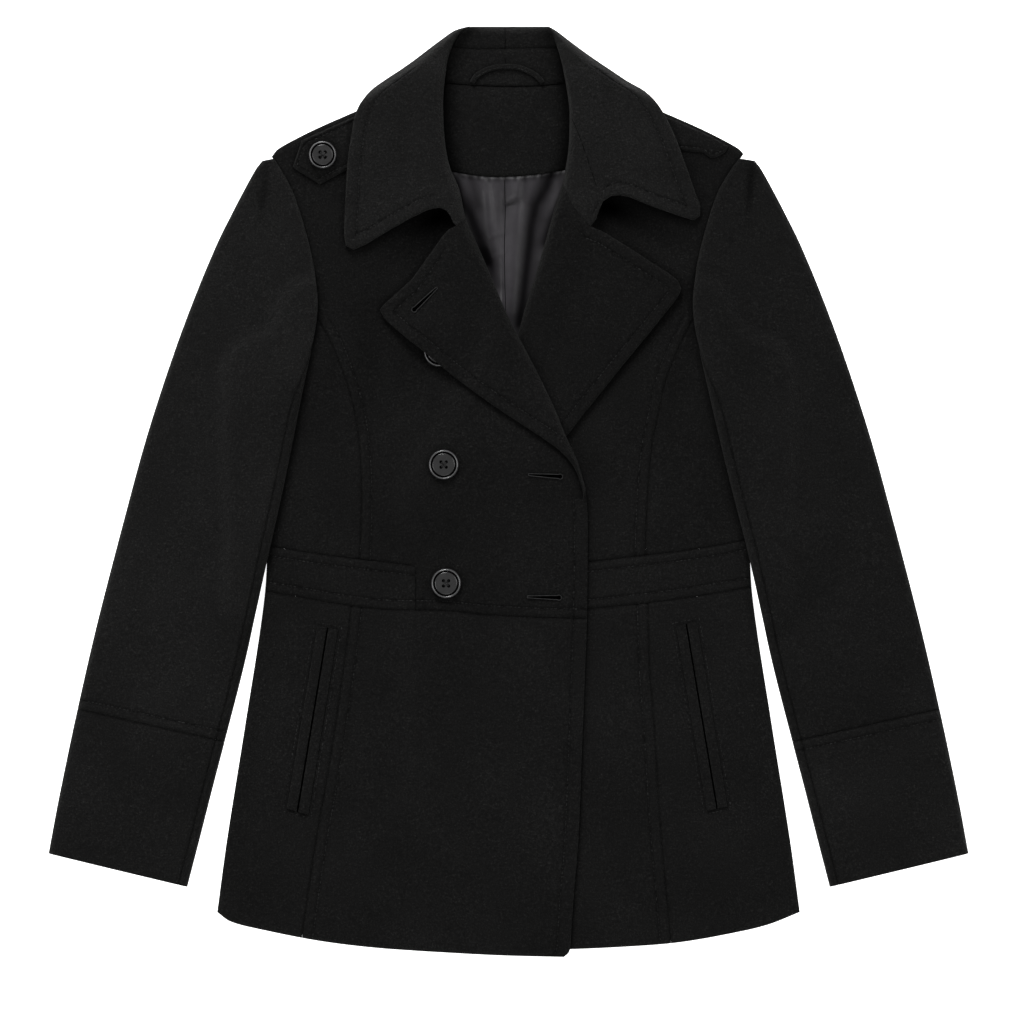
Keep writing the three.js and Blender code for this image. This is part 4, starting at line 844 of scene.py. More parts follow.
def button_material(name, tone, polish):
    """Polished dark horn-like plastic with faint clouds and handling marks."""
    look = Look(name)
    clouds = look.noise(scale=160, detail=4, rough=0.6)
    marks = look.noise(scale=2200, detail=2, rough=0.5)
    base = look.ramp(clouds, (0.3, rgb(0.6 * tone, 0.6 * tone, 0.62 * tone)),
                     (0.75, rgb(tone, tone, 1.03 * tone)))
    gloss = look.ramp(marks, (0.35, grey(0.16)), (0.7, grey(0.3)))
    look.give(look.shader, {"Base Color": base, "Roughness": gloss, "Specular IOR Level": polish,
                            "Coat Weight": 0.2 * polish, "Coat Roughness": 0.15,
                            "Normal": look.bump(marks, distance=0.00004, strength=0.1)})
    return look.material


def thread_material(name, dark, light, gloss=0.05):
    """Twisted thread, whose patchy lighter base colour is a painted glint where stitches catch the light
    unevenly.
    """
    look = Look(name)
    twist = look.noise(scale=2600, detail=2, rough=0.5)
    glint_patches = look.noise(scale=380, detail=2, rough=0.7)
    look.give(look.shader, {"Base Color": look.ramp(glint_patches, (0.4, dark), (0.68, light)),
                            "Roughness": 0.8, "Specular IOR Level": gloss,
                            "Normal": look.bump(twist, distance=0.0002, strength=0.6)})
    return look.material


wool = wool_material("wool_melton")
# The inside of the neck: the same wool, 5 per cent darker, painted shade
wool_neck_shaded = wool_material("wool_inside_neck", 0.95)
satin = satin_material()
horn = button_material("button_plastic", 0.014, 0.42)
# The rim copy is lighter, a painted highlight on top of its higher polish; the groove copy is near black,
# painted shade in the groove and the holes
horn_rim_highlight = button_material("button_rim_highlight", 0.045, 0.75)
horn_groove_shadow = button_material("button_groove_shadow", 0.0008, 0.02)
thread = thread_material("stitch_thread", grey(0.0008), rgb(0.036, 0.036, 0.0362))
hole_thread = thread_material("buttonhole_thread", rgb(0.016, 0.016, 0.0162), rgb(0.034, 0.034, 0.0345), 0.15)
# Near black: painted shadow in the pocket slit and the buttonhole openings, and the colour of the dark seam
# cords
shadow_and_seam_black = thread_material("slit_shade", grey(0.0001), grey(0.0004), 0.0)


# Meshes
def painted_shadow_at(x, y, place):
    """How much painted shadow a point gets in a hollow that faces away from the light."""
    cx, cy, turn, long, wide, depth = place
    c, n = math.cos(math.radians(turn)), math.sin(math.radians(turn))
    u, v = (x - cx) * c + (y - cy) * n, (y - cy) * c - (x - cx) * n
    return depth * np.exp(-(u / long) ** 2 - (v / wide) ** 2)


def painted_shading_of(name, x, y):
    """How light or dark the cloth is painted: each panel's painted tone, and painted shadows in hollows and
    folds.
    """
    tone = next((t for key, t in PANEL_PAINTED_TONE.items() if name.startswith(key)), 1.0) + 0 * x
    for key, places in PAINTED_SHADOWS.items():
        if name.startswith(key):
            for place in places:
                tone = tone * (1 - painted_shadow_at(x, y, place))
    # Painted shade along both roll lines inside the neck, under the collar
    if name.startswith(INSIDE_NECK):
        left, right = x - ROLL_LINE[-1](y), ROLL_LINE[1](y) - x
        tone = tone * (1 - 0.7 * bell(left / 11)) * (1 - 0.58 * bell(right / 10))
    # Painted shade in the lining's fold troughs, and in an uneven band along its gathered top edge
    if name.startswith("back_lining"):
        for path, half, _, dark in LINING_FOLDS:
            tone = tone * (1 - dark * bell(way_off(x, y, path) / (1.7 * half)))
        drop = facing_edge(x) - y
        ruffle_shade = 0.5 + 0.5 * np.sin(1.15 * x + 1.4 * np.sin(0.31 * x))
        tone = tone * (1 - (0.25 + 0.6 * ruffle_shade) * (1 - smooth(0.5, 7, drop)))
    return tone


def add_mesh(name, points, faces, material, slot, node=None):
    """A piece from points in mm. A fourth number is the point's painted shade along seams and stitch lines.
    """
    points = np.asarray(points, float)
    mesh = bpy.data.meshes.new(name)
    mesh.from_pydata((points[:, :3] * MM).tolist(), [], [list(map(int, f)) for f in faces])
    mesh.update()
    mesh.polygons.foreach_set("use_smooth", np.ones(len(mesh.polygons), bool))
    mesh.materials.append(material)
    # Each point's painted light and shade, which the wool and satin materials multiply in
    painted_shading = mesh.attributes.new("painted_shading", "FLOAT", "POINT")
    tone = painted_shading_of(name, points[:, 0], points[:, 1])
    if points.shape[1] > 3:
        tone = tone * points[:, 3]
    painted_shading.data.foreach_set("value", np.asarray(tone, np.float32))
    piece = bpy.data.objects.new(name, mesh)
    bpy.context.scene.collection.objects.link(piece)
    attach(piece, "root")
    if node:
        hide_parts(node)
    return piece


def wall(outside, inside, flip, cells=None):
    """A closed shell between two grids of points, over the cells that are there."""
    rows, columns = outside.shape[:2]
    points = np.concatenate([outside.reshape(rows * columns, -1), inside.reshape(rows * columns, -1)])
    out = np.arange(rows * columns).reshape(rows, columns)
    inn = out + rows * columns
    here = np.ones((rows - 1, columns - 1), bool) if cells is None else cells
    padded = np.pad(here, 1)

    def quads(mask, *grids):
        return np.stack([g[mask] for g in grids], -1)

    left = here & ~padded[1:-1, :-2]
    right = here & ~padded[1:-1, 2:]
    foot = here & ~padded[:-2, 1:-1]
    head = here & ~padded[2:, 1:-1]
    sw, se, nw, ne = (out[:-1, :-1], out[:-1, 1:], out[1:, :-1], out[1:, 1:])
    isw, ise, inw, ine = (inn[:-1, :-1], inn[:-1, 1:], inn[1:, :-1], inn[1:, 1:])
    faces = np.concatenate([
        quads(here, sw, se, ne, nw), quads(here, isw, inw, ine, ise),
        quads(left, sw, nw, inw, isw), quads(right, ne, se, ise, ine),
        quads(foot, se, sw, isw, ise), quads(head, nw, ne, ine, inw),
    ])
    used, faces = np.unique(faces, return_inverse=True)
    faces = faces.reshape(-1, 4)
    return points[used], faces[:, ::-1] if flip else faces


def ladder(length, start, end, count):
    """Marks across lengths: rows measured from either end, and even steps between."""
    length = np.asarray(length, float)[..., None]
    start, end = np.array(start), np.array(end)
    share = np.minimum(1.0, 0.8 * length / (start[-1] + end[-1]))
    first = start * share
    last = (length - end * share)[..., ::-1]
    middle = mix(first[..., -1:], last[..., :1], np.arange(1, count) / count)
    return np.concatenate([first, middle, last], -1)


STITCH_CLEAR = 2.4
STITCH_ROWS = (-2.2, -1.2, -0.55, 0, 0.55, 1.2, 2.2)


def with_stitch(marks, distance):
    """Adds close rows round a stitch line to the rows measured from an edge."""
    if not distance:
        return marks
    kept = [m for m in marks if m < distance - STITCH_CLEAR]
    return kept + [distance + d for d in STITCH_ROWS]


# Rows of points by their distance from an edge, for each kind of edge
SEAM = [0.05, 0.5, 1.1, 2.0, 3.4]
ROUND = [0.1, 0.5, 1.1, 2.0, 3.2, 4.6, RIM]
FREE = [0.1, 0.4, 0.9, 1.6, 2.8]
ROLLED = [0.1, 0.5, 1.2, 2.2, 3.2, TURNED, 5.2, 6.4, 7.8, ROLL]
WRAPPED = [0.1, 0.6, 1.4, 2.6, TURNED, 6, 8, 10.5, WRAP]


def edge_relief(e, kinds, stitches):
    """Seam dips, stitch grooves and the soft puff between a stitch line and its edge."""
    total = 0.0
    for key, kind in kinds.items():
        if key not in e:
            continue
        d = e[key]
        if kind == "seam":
            total = total - SEAM_DIP * bell(d / SEAM_HALF)
        line = stitches.get(key)
        if line:
            worn = e.get(f"worn_{key}", 1.0)
            total = total - worn * GROOVE_DEPTH * bell((d - line) / GROOVE_HALF)
            total = total + worn * PUFF * np.sin(math.pi * clamp(d / line)) ** 2
    return total


def edge_painted_shade(e, kinds, stitches):
    """Painted shade along seams and stitch lines, which lie pressed in."""
    tone = 1.0 + 0 * e["outer"]
    for key, kind in kinds.items():
        if key not in e:
            continue
        if kind == "seam":
            tone = tone * (1 - SEAM_SHADE * bell(e[key] / SEAM_SHADE_HALF))
        line = stitches.get(key)
        if line:
            worn = e.get(f"worn_{key}", 1.0)
            tone = tone * (1 - worn * STITCH_SHADE * bell((e[key] - line) / STITCH_SHADE_HALF))
    return tone


MARKS = {"seam": SEAM, "round": ROUND, "free": FREE, "roll": ROLLED, "wrap": WRAPPED}
all_stitches = []


class Patch:
    """A surface between four seams. u runs from the outer to the inner one, v from bottom to top."""

    def __init__(self, seams):
        self.outer, self.inner, self.bottom, self.top = (seams[k] for k in SIDES)
        self.ends = [self.outer(0), self.inner(0), self.outer(1), self.inner(1)]

    def place(self, u, v):
        u1, v1 = u[..., None], v[..., None]
        a, b, c, d = self.ends
        return (mix(self.outer(v), self.inner(v), u1) + mix(self.bottom(u), self.top(u), v1)
                - mix(mix(a, b, u1), mix(c, d, u1), v1))

    def width(self, v):
        return np.maximum(2, np.linalg.norm(self.outer(v) - self.inner(v), axis=-1))

    def height(self, u):
        return np.maximum(2, np.linalg.norm(self.bottom(u) - self.top(u), axis=-1))

    def beside(self, key, distance, span):
        """u, v, width and height along a line at a distance from one seam."""
        t = np.linspace(*span, 400)
        if key in ("outer", "inner"):
            wide = self.width(t)
            u = distance / wide if key == "outer" else 1 - distance / wide
            return u, t, wide, self.height(u)
        tall = self.height(t)
        v = distance / tall if key == "bottom" else 1 - distance / tall
        return t, v, self.width(v), tall


def edges_at(u, v, wide, tall):
    """Distances from the four seams."""
    return {"outer": u * wide, "inner": (1 - u) * wide, "bottom": v * tall, "top": (1 - v) * tall}


def worn_share(share, span):
    """1 where a stitch line runs, fading out at the ends of its span."""
    lo, hi = span
    before = smooth(lo - 0.012, lo + 0.004, share) if lo > 0 else 1.0
    after = 1 - smooth(hi - 0.004, hi + 0.012, share) if hi < 1 else 1.0
    return before * after + 0 * share


def with_tab(x, y, us, e, tab):
    """Adds the rows of a tab that hangs from the inner part of a panel's bottom seam, down to its
    foot. Also returns the cells that are there, where the tab starts and how many rows it has."""
    past = us[0] >= tab["cut"] - 1e-6
    first = int(np.flatnonzero(past)[0])
    tx = x[0].copy()
    start_x = tx[first]
    tx[past] = mix(start_x, tab["front"], (us[0][past] - tab["cut"]) / (1 - tab["cut"]))
    foot = tab["foot"](tx)
    drop = y[0] - foot
    typical = float(drop[past].mean())
    share = ladder(typical, with_stitch(SEAM, tab["stitch"]), [STEP_TAB], TAB_ROWS)[:, None] / typical
    tab_x, tab_y = mix(tx[None, :], x[0][None, :], share), mix(foot[None, :], y[0][None, :], share)
    far = np.full_like(tab_x, FAR)
    above = us >= tab["cut"] - 1e-6
    e["foot"] = np.where(above, e["bottom"] + drop[None, :], FAR)
    e["bottom"] = np.where(above, FAR, e["bottom"])
    tab_e = {"outer": tab_x - start_x, "inner": np.repeat(e["inner"][:1], len(share), 0),
             "bottom": far, "top": far, "foot": share * drop[None, :]}
    tab_e.update({key: np.ones_like(tab_x) for key in e if key.startswith("worn_")})
    e = {key: np.concatenate([tab_e[key], e[key]]) for key in e}
    x, y = np.concatenate([tab_x, x]), np.concatenate([tab_y, y])
    cells = np.ones((x.shape[0] - 1, x.shape[1] - 1), bool)
    cells[:len(share), :first] = False
    return x, y, e, cells, start_x, len(share)


def panel(name, side, seams, kinds, lower, upper, stitches=None, spans=None, material=None,
          slot="wool", step=GRID_STEP, tab=None, node=None, rests=()):
    """A shell between four seams. Edge distances are measured from each seam. stitches gives the
    distance of a stitch line from an edge, and spans the part of that edge that has it."""
    stitches, spans = stitches or {}, spans or {}
    patch = Patch(seams)
    rows_of = {key: with_stitch(MARKS[kinds[key]], stitches.get(key)) for key in kinds}

    def marks(length, first, last, typical):
        taken = rows_of[first][-1] + rows_of[last][-1]
        count = max(1, int(round((typical - taken) / step)))
        return ladder(length, rows_of[first], rows_of[last], count)

    wide_typical, tall_typical = float(patch.width(np.array(0.5))), float(patch.height(np.array(0.5)))

    def columns_of(wide):
        if tab is None:
            return marks(wide, "outer", "inner", wide_typical)
        cut = tab["cut"]
        near = max(1, int(wide_typical * cut / step))
        far = max(1, int(wide_typical * (1 - cut) / step))
        first = ladder(wide * cut, rows_of["outer"], [0], near)
        last = ladder(wide * (1 - cut), [0], rows_of["inner"], far)
        return np.concatenate([first, last[:, 1:] + wide[:, None] * cut], -1)

    def skin(x, y, e):
        return upper(x, y, e) + edge_relief(e, kinds, stitches)

    row_marks = marks(tall_typical, "bottom", "top", tall_typical) / tall_typical
    wide = patch.width(row_marks)
    us = columns_of(wide) / wide[:, None]
    tall = patch.height(us[len(us) // 2])
    vs = (marks(tall, "bottom", "top", tall_typical) / tall[:, None]).T
    xy = patch.place(us, vs)
    x, y = xy[..., 0], xy[..., 1]
    e = edges_at(us, vs, patch.width(vs), patch.height(us))
    for key in stitches:
        if key in seams:
            share = vs if key in ("outer", "inner") else us
            e[f"worn_{key}"] = worn_share(share, spans.get(key, (0.0, 1.0)))
    cells = None
    if tab is not None:
        x, y, e, cells, tab_from, tab_rows = with_tab(x, y, us, e, tab)
    low = lower(x, y, e)
    high = np.maximum(skin(x, y, e), low + 0.4)
    outside, inside = np.stack([x, y, high], -1), np.stack([x, y, low], -1)
    # Painted shade along seams and stitch lines, carried as each point's fourth number
    shade = edge_painted_shade(e, kinds, stitches)[..., None]
    points, faces = wall(np.concatenate([outside, shade], -1), np.concatenate([inside, shade], -1),
                         side > 0, cells)
    piece = add_mesh(f"{name}_cloth", points, faces, material or wool, slot,
                     name if node is None else node)

    if tab is not None:
        def tab_stitches(px, py, key, distance):
            far = {k: np.full(len(px), 1.0 if k.startswith("worn_") else FAR) for k in e}
            far[key] = np.full(len(px), distance)
            all_stitches.append(np.column_stack([px, py, skin(px, py, far)]))

        px = np.linspace(tab_from + 1, tab["front"] - 3, TAB_POINTS)
        tab_stitches(px, tab["foot"](px) + tab["stitch"], "foot", tab["stitch"])
        py = np.linspace(float(tab["foot"](tab["front"])), float(y[tab_rows, -1]), TAB_POINTS)
        px = mix(tab["front"], x[tab_rows, -1], np.linspace(0, 1, TAB_POINTS)) - stitches["inner"]
        tab_stitches(px, py, "inner", stitches["inner"])
    for key, distance in stitches.items():
        if key in seams:
            u, v, wide, tall = patch.beside(key, distance, spans.get(key, (0.0, 1.0)))
            pxy = patch.place(u, v)
            px, py = pxy[..., 0], pxy[..., 1]
            all_stitches.append(np.stack([px, py, skin(px, py, edges_at(u, v, wide, tall))], -1))
    if node is None:
        declare(piece, *spread(outside, cells), rests)
    return piece


def spread(grid, cells=None):
    """Greatest width and length along the cloth, over its rolls, and its area."""
    here = 1.0 if cells is None else cells
    side = np.linalg.norm(np.diff(grid, axis=1), axis=2)
    rise = np.linalg.norm(np.diff(grid, axis=0), axis=2)
    diagonals = grid[1:, 1:] - grid[:-1, :-1], grid[1:, :-1] - grid[:-1, 1:]
    area = 0.5 * np.linalg.norm(np.cross(*diagonals), axis=2)
    wide = (0.5 * (side[:-1] + side[1:]) * here).sum(1).max()
    tall = (0.5 * (rise[:, :-1] + rise[:, 1:]) * here).sum(0).max()
    return wide, tall, (area * here).sum()


def declare(piece, width, length, area, rests=()):
    """Rounds a sheet's flat width and length to whole millimetres, in metres; nothing is kept."""
    width, length = max(LEAST_WIDTH, math.ceil(width)) / 1000, math.ceil(length) / 1000
    list(rests)


# Back: bodice, waistband and skirt, flat on the surface but for the rise over the collar's fall
def build_back():
    foot_y, top_y = -88, -48
    side = body_side

    def level(y):
        return lambda s: (float(side(s)(y)), y)

    def hem(s):
        return meet(side(s), back_hem, -353)

    def span(at):
        return even([at(-1), at(1)])

    def below(x, y, e):
        free = smooth(0, 20, np.minimum(e["outer"], e["inner"]))
        return neck_rise(y) + free * (0.3 + relief(x, y, BACK_CREASES)).clip(0, 0.8)

    def above(x, y, e):
        edge = np.minimum(e["outer"], e["inner"])
        return neck_rise(y) + BACK * (1 - 0.4 * (1 - quarter(edge / 1.4)))

    kinds = {"outer": "free", "inner": "free", "bottom": "seam", "top": "seam"}
    for name, low, high in (("back_skirt", hem, level(foot_y)),
                            ("back_waistband", level(foot_y), level(top_y)),
                            ("back_bodice", level(top_y), lambda s: CORNERS[s]["shoulder"])):
        seams = {"outer": upright(side(-1), low(-1), high(-1)),
                 "inner": upright(side(1), low(1), high(1)), "bottom": span(low), "top": span(high)}
        if name == "back_skirt":
            seams["bottom"] = across(back_hem, hem(-1), hem(1))
        if name == "back_bodice":
            seams["top"] = across(
                lambda x: np.where(np.abs(x) > 53, shoulder_line(x), neck_seam(x) + 0.2),
                CORNERS[-1]["shoulder"], CORNERS[1]["shoulder"])
        panel(name, -1, seams, kinds, below, above, step=6.0, rests=["floor"])


# Where on the outer seam the stitches end at the underarm, and on the front edge at its break
UNDERARM_SHARE = 0.575
BREAK_SHARE = 0.17


def build_front(side):
    word = WORD[side]
    c = CORNERS[side]
    edge = body_side(side)
    front = front_edge if side < 0 else hidden_edge
    hem, foot, top = HEM[side], BAND_BOTTOM[side], BAND_TOP[side]

    def lower(x, y, e):
        return under[side](x, y)

    def skin(x, y, e):
        return front_skin(side, x, y) + wear(x, y)

    def skin_free(x, y, e):
        return skin(x, y, e) - CLOTH * cut_edge(e["inner"])

    seams = four_seams(c, (edge, PRINCESS[side], top, top),
                       ("band_top_side", "side_top", "band_top_seam", "underarm"))
    seams["top"] = upright(edge, c["side_top"], c["underarm"])
    panel(f"side_front_{word}", side, seams, kinds_of("round", "seam", "seam", "seam"), lower, skin,
          rests=["back_bodice"])

    names = ("band_foot_side", "band_top_side", "band_foot_front", "band_top_front")
    seams = four_seams(c, (edge, front, foot, top), names)
    if side < 0:
        end = BAND_END_X + GAP
        seams.update(inner=even([(end, float(foot(end))), (end, float(top(end)))]),
                     bottom=across(foot, c["band_foot_side"], (end, 0)),
                     top=across(top, c["band_top_side"], (end, 0)))
    panel(f"waistband_{word}", side, seams,
          kinds_of("round", "seam" if side > 0 else "free", "seam", "seam"), lower, skin,
          stitches={"bottom": BAND_STITCH, "top": BAND_STITCH}, rests=["back_waistband"])

    seams = four_seams(c, (edge, SKIRT_SEAM[side], hem, foot),
                       ("hem_side", "band_foot_side", "hem_seam", "band_foot_seam"))
    panel(f"skirt_side_{word}", side, seams, kinds_of("round", "seam", "round", "seam"), lower, skin,
          rests=["back_skirt"])

    seams = four_seams(c, (SKIRT_SEAM[side], front, hem, foot),
                       ("hem_seam", "band_foot_seam", "hem_front", "band_foot_front"))
    stitches = {"outer": SEAM_STITCH}
    if side < 0:
        stitches["inner"] = FRONT_STITCH
    panel(f"skirt_front_{word}", side, seams, kinds_of("seam", "free", "round", "seam"), lower,
          skin_free, stitches=stitches, rests=["back_skirt"])

    def outer_line(y):
        return np.where(np.asarray(y) < UNDERARM_Y, PRINCESS[side](y), edge(y))

    seams = four_seams(c, (outer_line, front_line(side), top, shoulder_line),
                       ("band_top_seam", "shoulder", "band_top_front", "neck"))
    kinds = kinds_of("seam", "seam", "seam", "round")
    stitches = {"outer": SEAM_STITCH}
    spans = {"outer": (0.0, UNDERARM_SHARE)}
    tab = None
    if side < 0:
        seam_x = c["band_top_seam"][0]
        corner = meet(front_edge, top, -80)
        tab = {"cut": (BAND_END_X - seam_x) / (corner[0] - seam_x), "foot": foot,
               "front": c["band_foot_front"][0], "stitch": BAND_STITCH}
        seams["bottom"] = across(top, c["band_top_seam"], corner)
        seams["inner"] = upright(front_line(-1), corner, c["neck"])
        kinds.update(inner="free", foot="seam")
        stitches.update(inner=FRONT_STITCH, foot=BAND_STITCH)
        spans["inner"] = (0.0, BREAK_SHARE)
    panel(f"centre_front_{word}", side, seams, kinds, lower, skin_free if side < 0 else skin,
          stitches=stitches, spans=spans, tab=tab, rests=["back_bodice"])


def wear(x, y):
    """Slit and seat marks: the cloth sinks along each worked buttonhole."""
    total = 0.0
    for hx, hy, turn, on_lapel in BUTTONHOLES.values():
        if not on_lapel:
            total = total - hole_dip(x, y, hx, hy, turn)
    return total


def hole_dip(x, y, hx, hy, turn):
    """How far the cloth sinks along one buttonhole."""
    a = math.radians(turn)
    along = (x - hx) * math.cos(a) + (y - hy) * math.sin(a)
    off = (y - hy) * math.cos(a) - (x - hx) * math.sin(a)
    ends = smooth(HOLE_LENGTH / 2 + 4, HOLE_LENGTH / 2 - 2, np.abs(along))
    return 0.7 * ends * bell(off / 3.4)


def in_gorge(side, x):
    """1 along the gorge seam, where collar and lapel are sewn together, 0 past the notch."""
    return smooth(*GORGE_END[side], x)


# The gorge seam holds the edge flat, as far as an edge this much further off
SEWN_EDGE = 9


def turned_edge(d):
    """How far the upper face of a lapel or wing rounds down at its edge."""
    return 0.4 * TURNED * (1 - quarter(d / 2.4))


def build_lapel(side):
    word = WORD[side]
    tip, gorge = LAPEL_TIP[side], LAPEL_GORGE[side]
    foot = (62.7, -7) if side < 0 else (float(LAPEL_EDGE[1](4.2)), 4.2)
    start = (64.6, BREAK_Y) if side < 0 else (float(ROLL_LINE[1](19)), 19)

    def lower(x, y, e):
        bull = TURNED * cut_edge(np.minimum(e["outer"], e["top"]))
        return lapel_under(side, x, y, e) + bull * clamp(e["inner"] / ROLL)

    def upper(x, y, e):
        edge = np.minimum(e["outer"], e["top"] + SEWN_EDGE * in_gorge(side, x))
        calm = smooth(0, 25, e["inner"]) * smooth(0, 12, edge)
        dip = hole_dip(x, y, *BUTTONHOLES["buttonhole_lapel"][:3]) if side < 0 else 0.0
        return (lapel_top(side, x, y, e) - turned_edge(edge)
                + 0.7 * calm * relief(x + 41, y - 17) - dip)

    seams = {"outer": upright(LAPEL_EDGE[side], foot, tip), "inner": upright(ROLL_LINE[side], start, gorge),
             "bottom": even([foot, start]), "top": across(LAPEL_TOP[side], tip, gorge)}
    panel(f"lapel_{word}", side, seams, kinds_of("free", "roll", "free", "free"), lower, upper,
          stitches={"outer": EDGE_STITCH, "top": EDGE_STITCH},
          spans={"outer": (0.09, 0.955), "top": (0.09, 0.74)}, rests=[f"centre_front_{word}"])


def wing_seam(x, y):
    """The seam that shows across the right wing."""
    (ax, ay), (bx, by) = WING_SEAM
    length = math.hypot(bx - ax, by - ay)
    dx, dy = (bx - ax) / length, (by - ay) / length
    along = (x - ax) * dx + (y - ay) * dy
    off = (x - ax) * dy - (y - ay) * dx
    return 0.6 * bell(off / 1.6) * smooth(-10, 6, along) * smooth(length + 6, length, along)


def build_wing(side):
    word = WORD[side]
    tip, gorge = WING_TIP[side], WING_GORGE[side]
    top_y = COLLAR_TOP_Y - 0.2
    outer_top = (side * 33.6, COLLAR_TOP_Y)
    inner_top = (float(ROLL_LINE[side](top_y)) - side * 0.2, top_y)

    def lower(x, y, e):
        bull = TURNED * cut_edge(np.minimum(e["outer"], e["bottom"]))
        return wing_bottom(side, x, y, e) + bull * (1 - wrap_share(y)) * clamp(e["inner"] / ROLL)

    def upper(x, y, e):
        edge = np.minimum(e["outer"], e["bottom"] + SEWN_EDGE * in_gorge(side, x))
        calm = smooth(0, 25, e["inner"]) * smooth(0, 14, edge)
        seam = wing_seam(x, y) if side > 0 else 0.0
        return (wing_top(side, x, y, e) - turned_edge(edge) * (1 - wrap_share(y))
                + 0.6 * calm * relief(x - 23, y + 31) - seam)

    seams = {"outer": upright(WING_EDGE[side], tip, outer_top),
             "inner": upright(ROLL_LINE[side], gorge, inner_top),
             "bottom": across(WING_FRONT[side], tip, gorge), "top": even([outer_top, inner_top])}
    panel(f"collar_wing_{word}", side, seams, kinds_of("wrap", "roll", "free", "seam"), lower, upper,
          stitches={"outer": EDGE_STITCH, "bottom": EDGE_STITCH},
          spans={"outer": (0.05, 0.72), "bottom": (0.085, 0.72)},
          rests=[f"centre_front_{word}", f"epaulette_{word}"])


# Inside the neck: the collar's inside, its stand, the facing, the lining and the hanger loop
def build_neck():
    def between(shift, low, high):
        def line(s):
            return lambda y: ROLL_LINE[s](y) + s * mix(shift, 0.35, smooth(316, 332, y))

        left, right = line(-1), line(1)
        a, b = (meet(f, low, float(low(0))) for f in (left, right))
        c, d = (meet(f, high, float(high(0))) for f in (left, right))
        return {"outer": upright(left, a, c), "inner": upright(right, b, d),
                "bottom": across(low, a, b), "top": across(high, c, d)}

    seam = kinds_of("seam", "seam", "seam", "seam")

    def centre_seam(x):
        return 1.2 * bell((x + 2.9) / 2.2)

    def stand_face(x, y, e):
        return STAND_TOP + 0.25 * relief(x + 9, y) - 0.6 * centre_seam(x) * smooth(356, 364, y)

    def inside_foot(x, y, e):
        turned = quarter((e["top"] - TURNED) / (NECK_WRAP - TURNED))
        return NECK_RISE * np.where(e["top"] < TURNED, 0.0, turned)

    def inside_face(x, y, e):
        return STAND_TOP * np.maximum(0.1, quarter(e["top"] / NECK_WRAP)) - centre_seam(x)

    panel("collar_stand", -1, between(0.35, lambda x: neck_seam(x) + 0.6, stand_seam), seam,
          lambda x, y, e: NECK_RISE + 0 * x, stand_face, step=2.4, material=wool_neck_shaded,
          rests=["back_bodice"])
    panel("collar_inside", -1, between(0.35, stand_seam, lambda x: COLLAR_TOP_Y - 0.2 + 0 * x),
          {**seam, "top": "roll"}, inside_foot, inside_face, step=2.4, material=wool_neck_shaded,
          rests=["collar_fall"])

    low, high = float(fall_foot(FALL_HALF)), float(fall_top(FALL_HALF))
    fall = {
        "outer": even([(-FALL_HALF, low), (-FALL_HALF, high)]),
        "inner": even([(FALL_HALF, low), (FALL_HALF, high)]),
        "bottom": across(lambda x: fall_foot(np.abs(x)), (-FALL_HALF, 0), (FALL_HALF, 0)),
        "top": across(lambda x: fall_top(np.abs(x)), (-FALL_HALF, 0), (FALL_HALF, 0)),
    }
    panel("collar_fall", -1, fall, {k: "free" for k in seam},
          lambda x, y, e: 0.4 * smooth(0, 12, np.minimum(e["bottom"], e["top"])) + 0 * x,
          lambda x, y, e: FALL * (1 - cut_edge(e["bottom"])), step=3.0,
          rests=["floor"])

    panel("back_neck_facing", -1, between(HIDDEN_MARGIN, facing_edge, neck_seam), seam,
          lambda x, y, e: back_top(y) + REST,
          lambda x, y, e: back_top(y) + REST + FACING + 0.35 * relief(x, y + 60), step=2.6,
          material=wool_neck_shaded, rests=["back_bodice"])

    def folds(x, y, e):
        drop = facing_edge(x) - y
        fade = smooth(0, 16, drop) * (1 - 0.35 * smooth(90, 140, drop))
        soft = sum(height * bell(way_off(x, y, path) / half) for path, half, height, _ in LINING_FOLDS)
        small = sum(h * 1.5 * bell((x - gx * (1 - drop / 420)) / half) for gx, half, h in GATHERS)
        seam_line = 0.8 * bell((x + 3.2 + 0.02 * drop) / 0.9)
        return (back_top(y) + REST + LINING + LINING_BASE + fade * soft
                + small * smooth(1, 6, drop) * (1 - smooth(16, 62, drop)) - 0.7 * seam_line)

    panel("back_lining", -1, between(HIDDEN_MARGIN, lambda x: LINING_FOOT_Y + 0 * x, facing_edge), seam,
          lambda x, y, e: back_top(y) + REST - 0.3, folds, step=1.5, material=satin, slot="lining",
          rests=["back_bodice"])


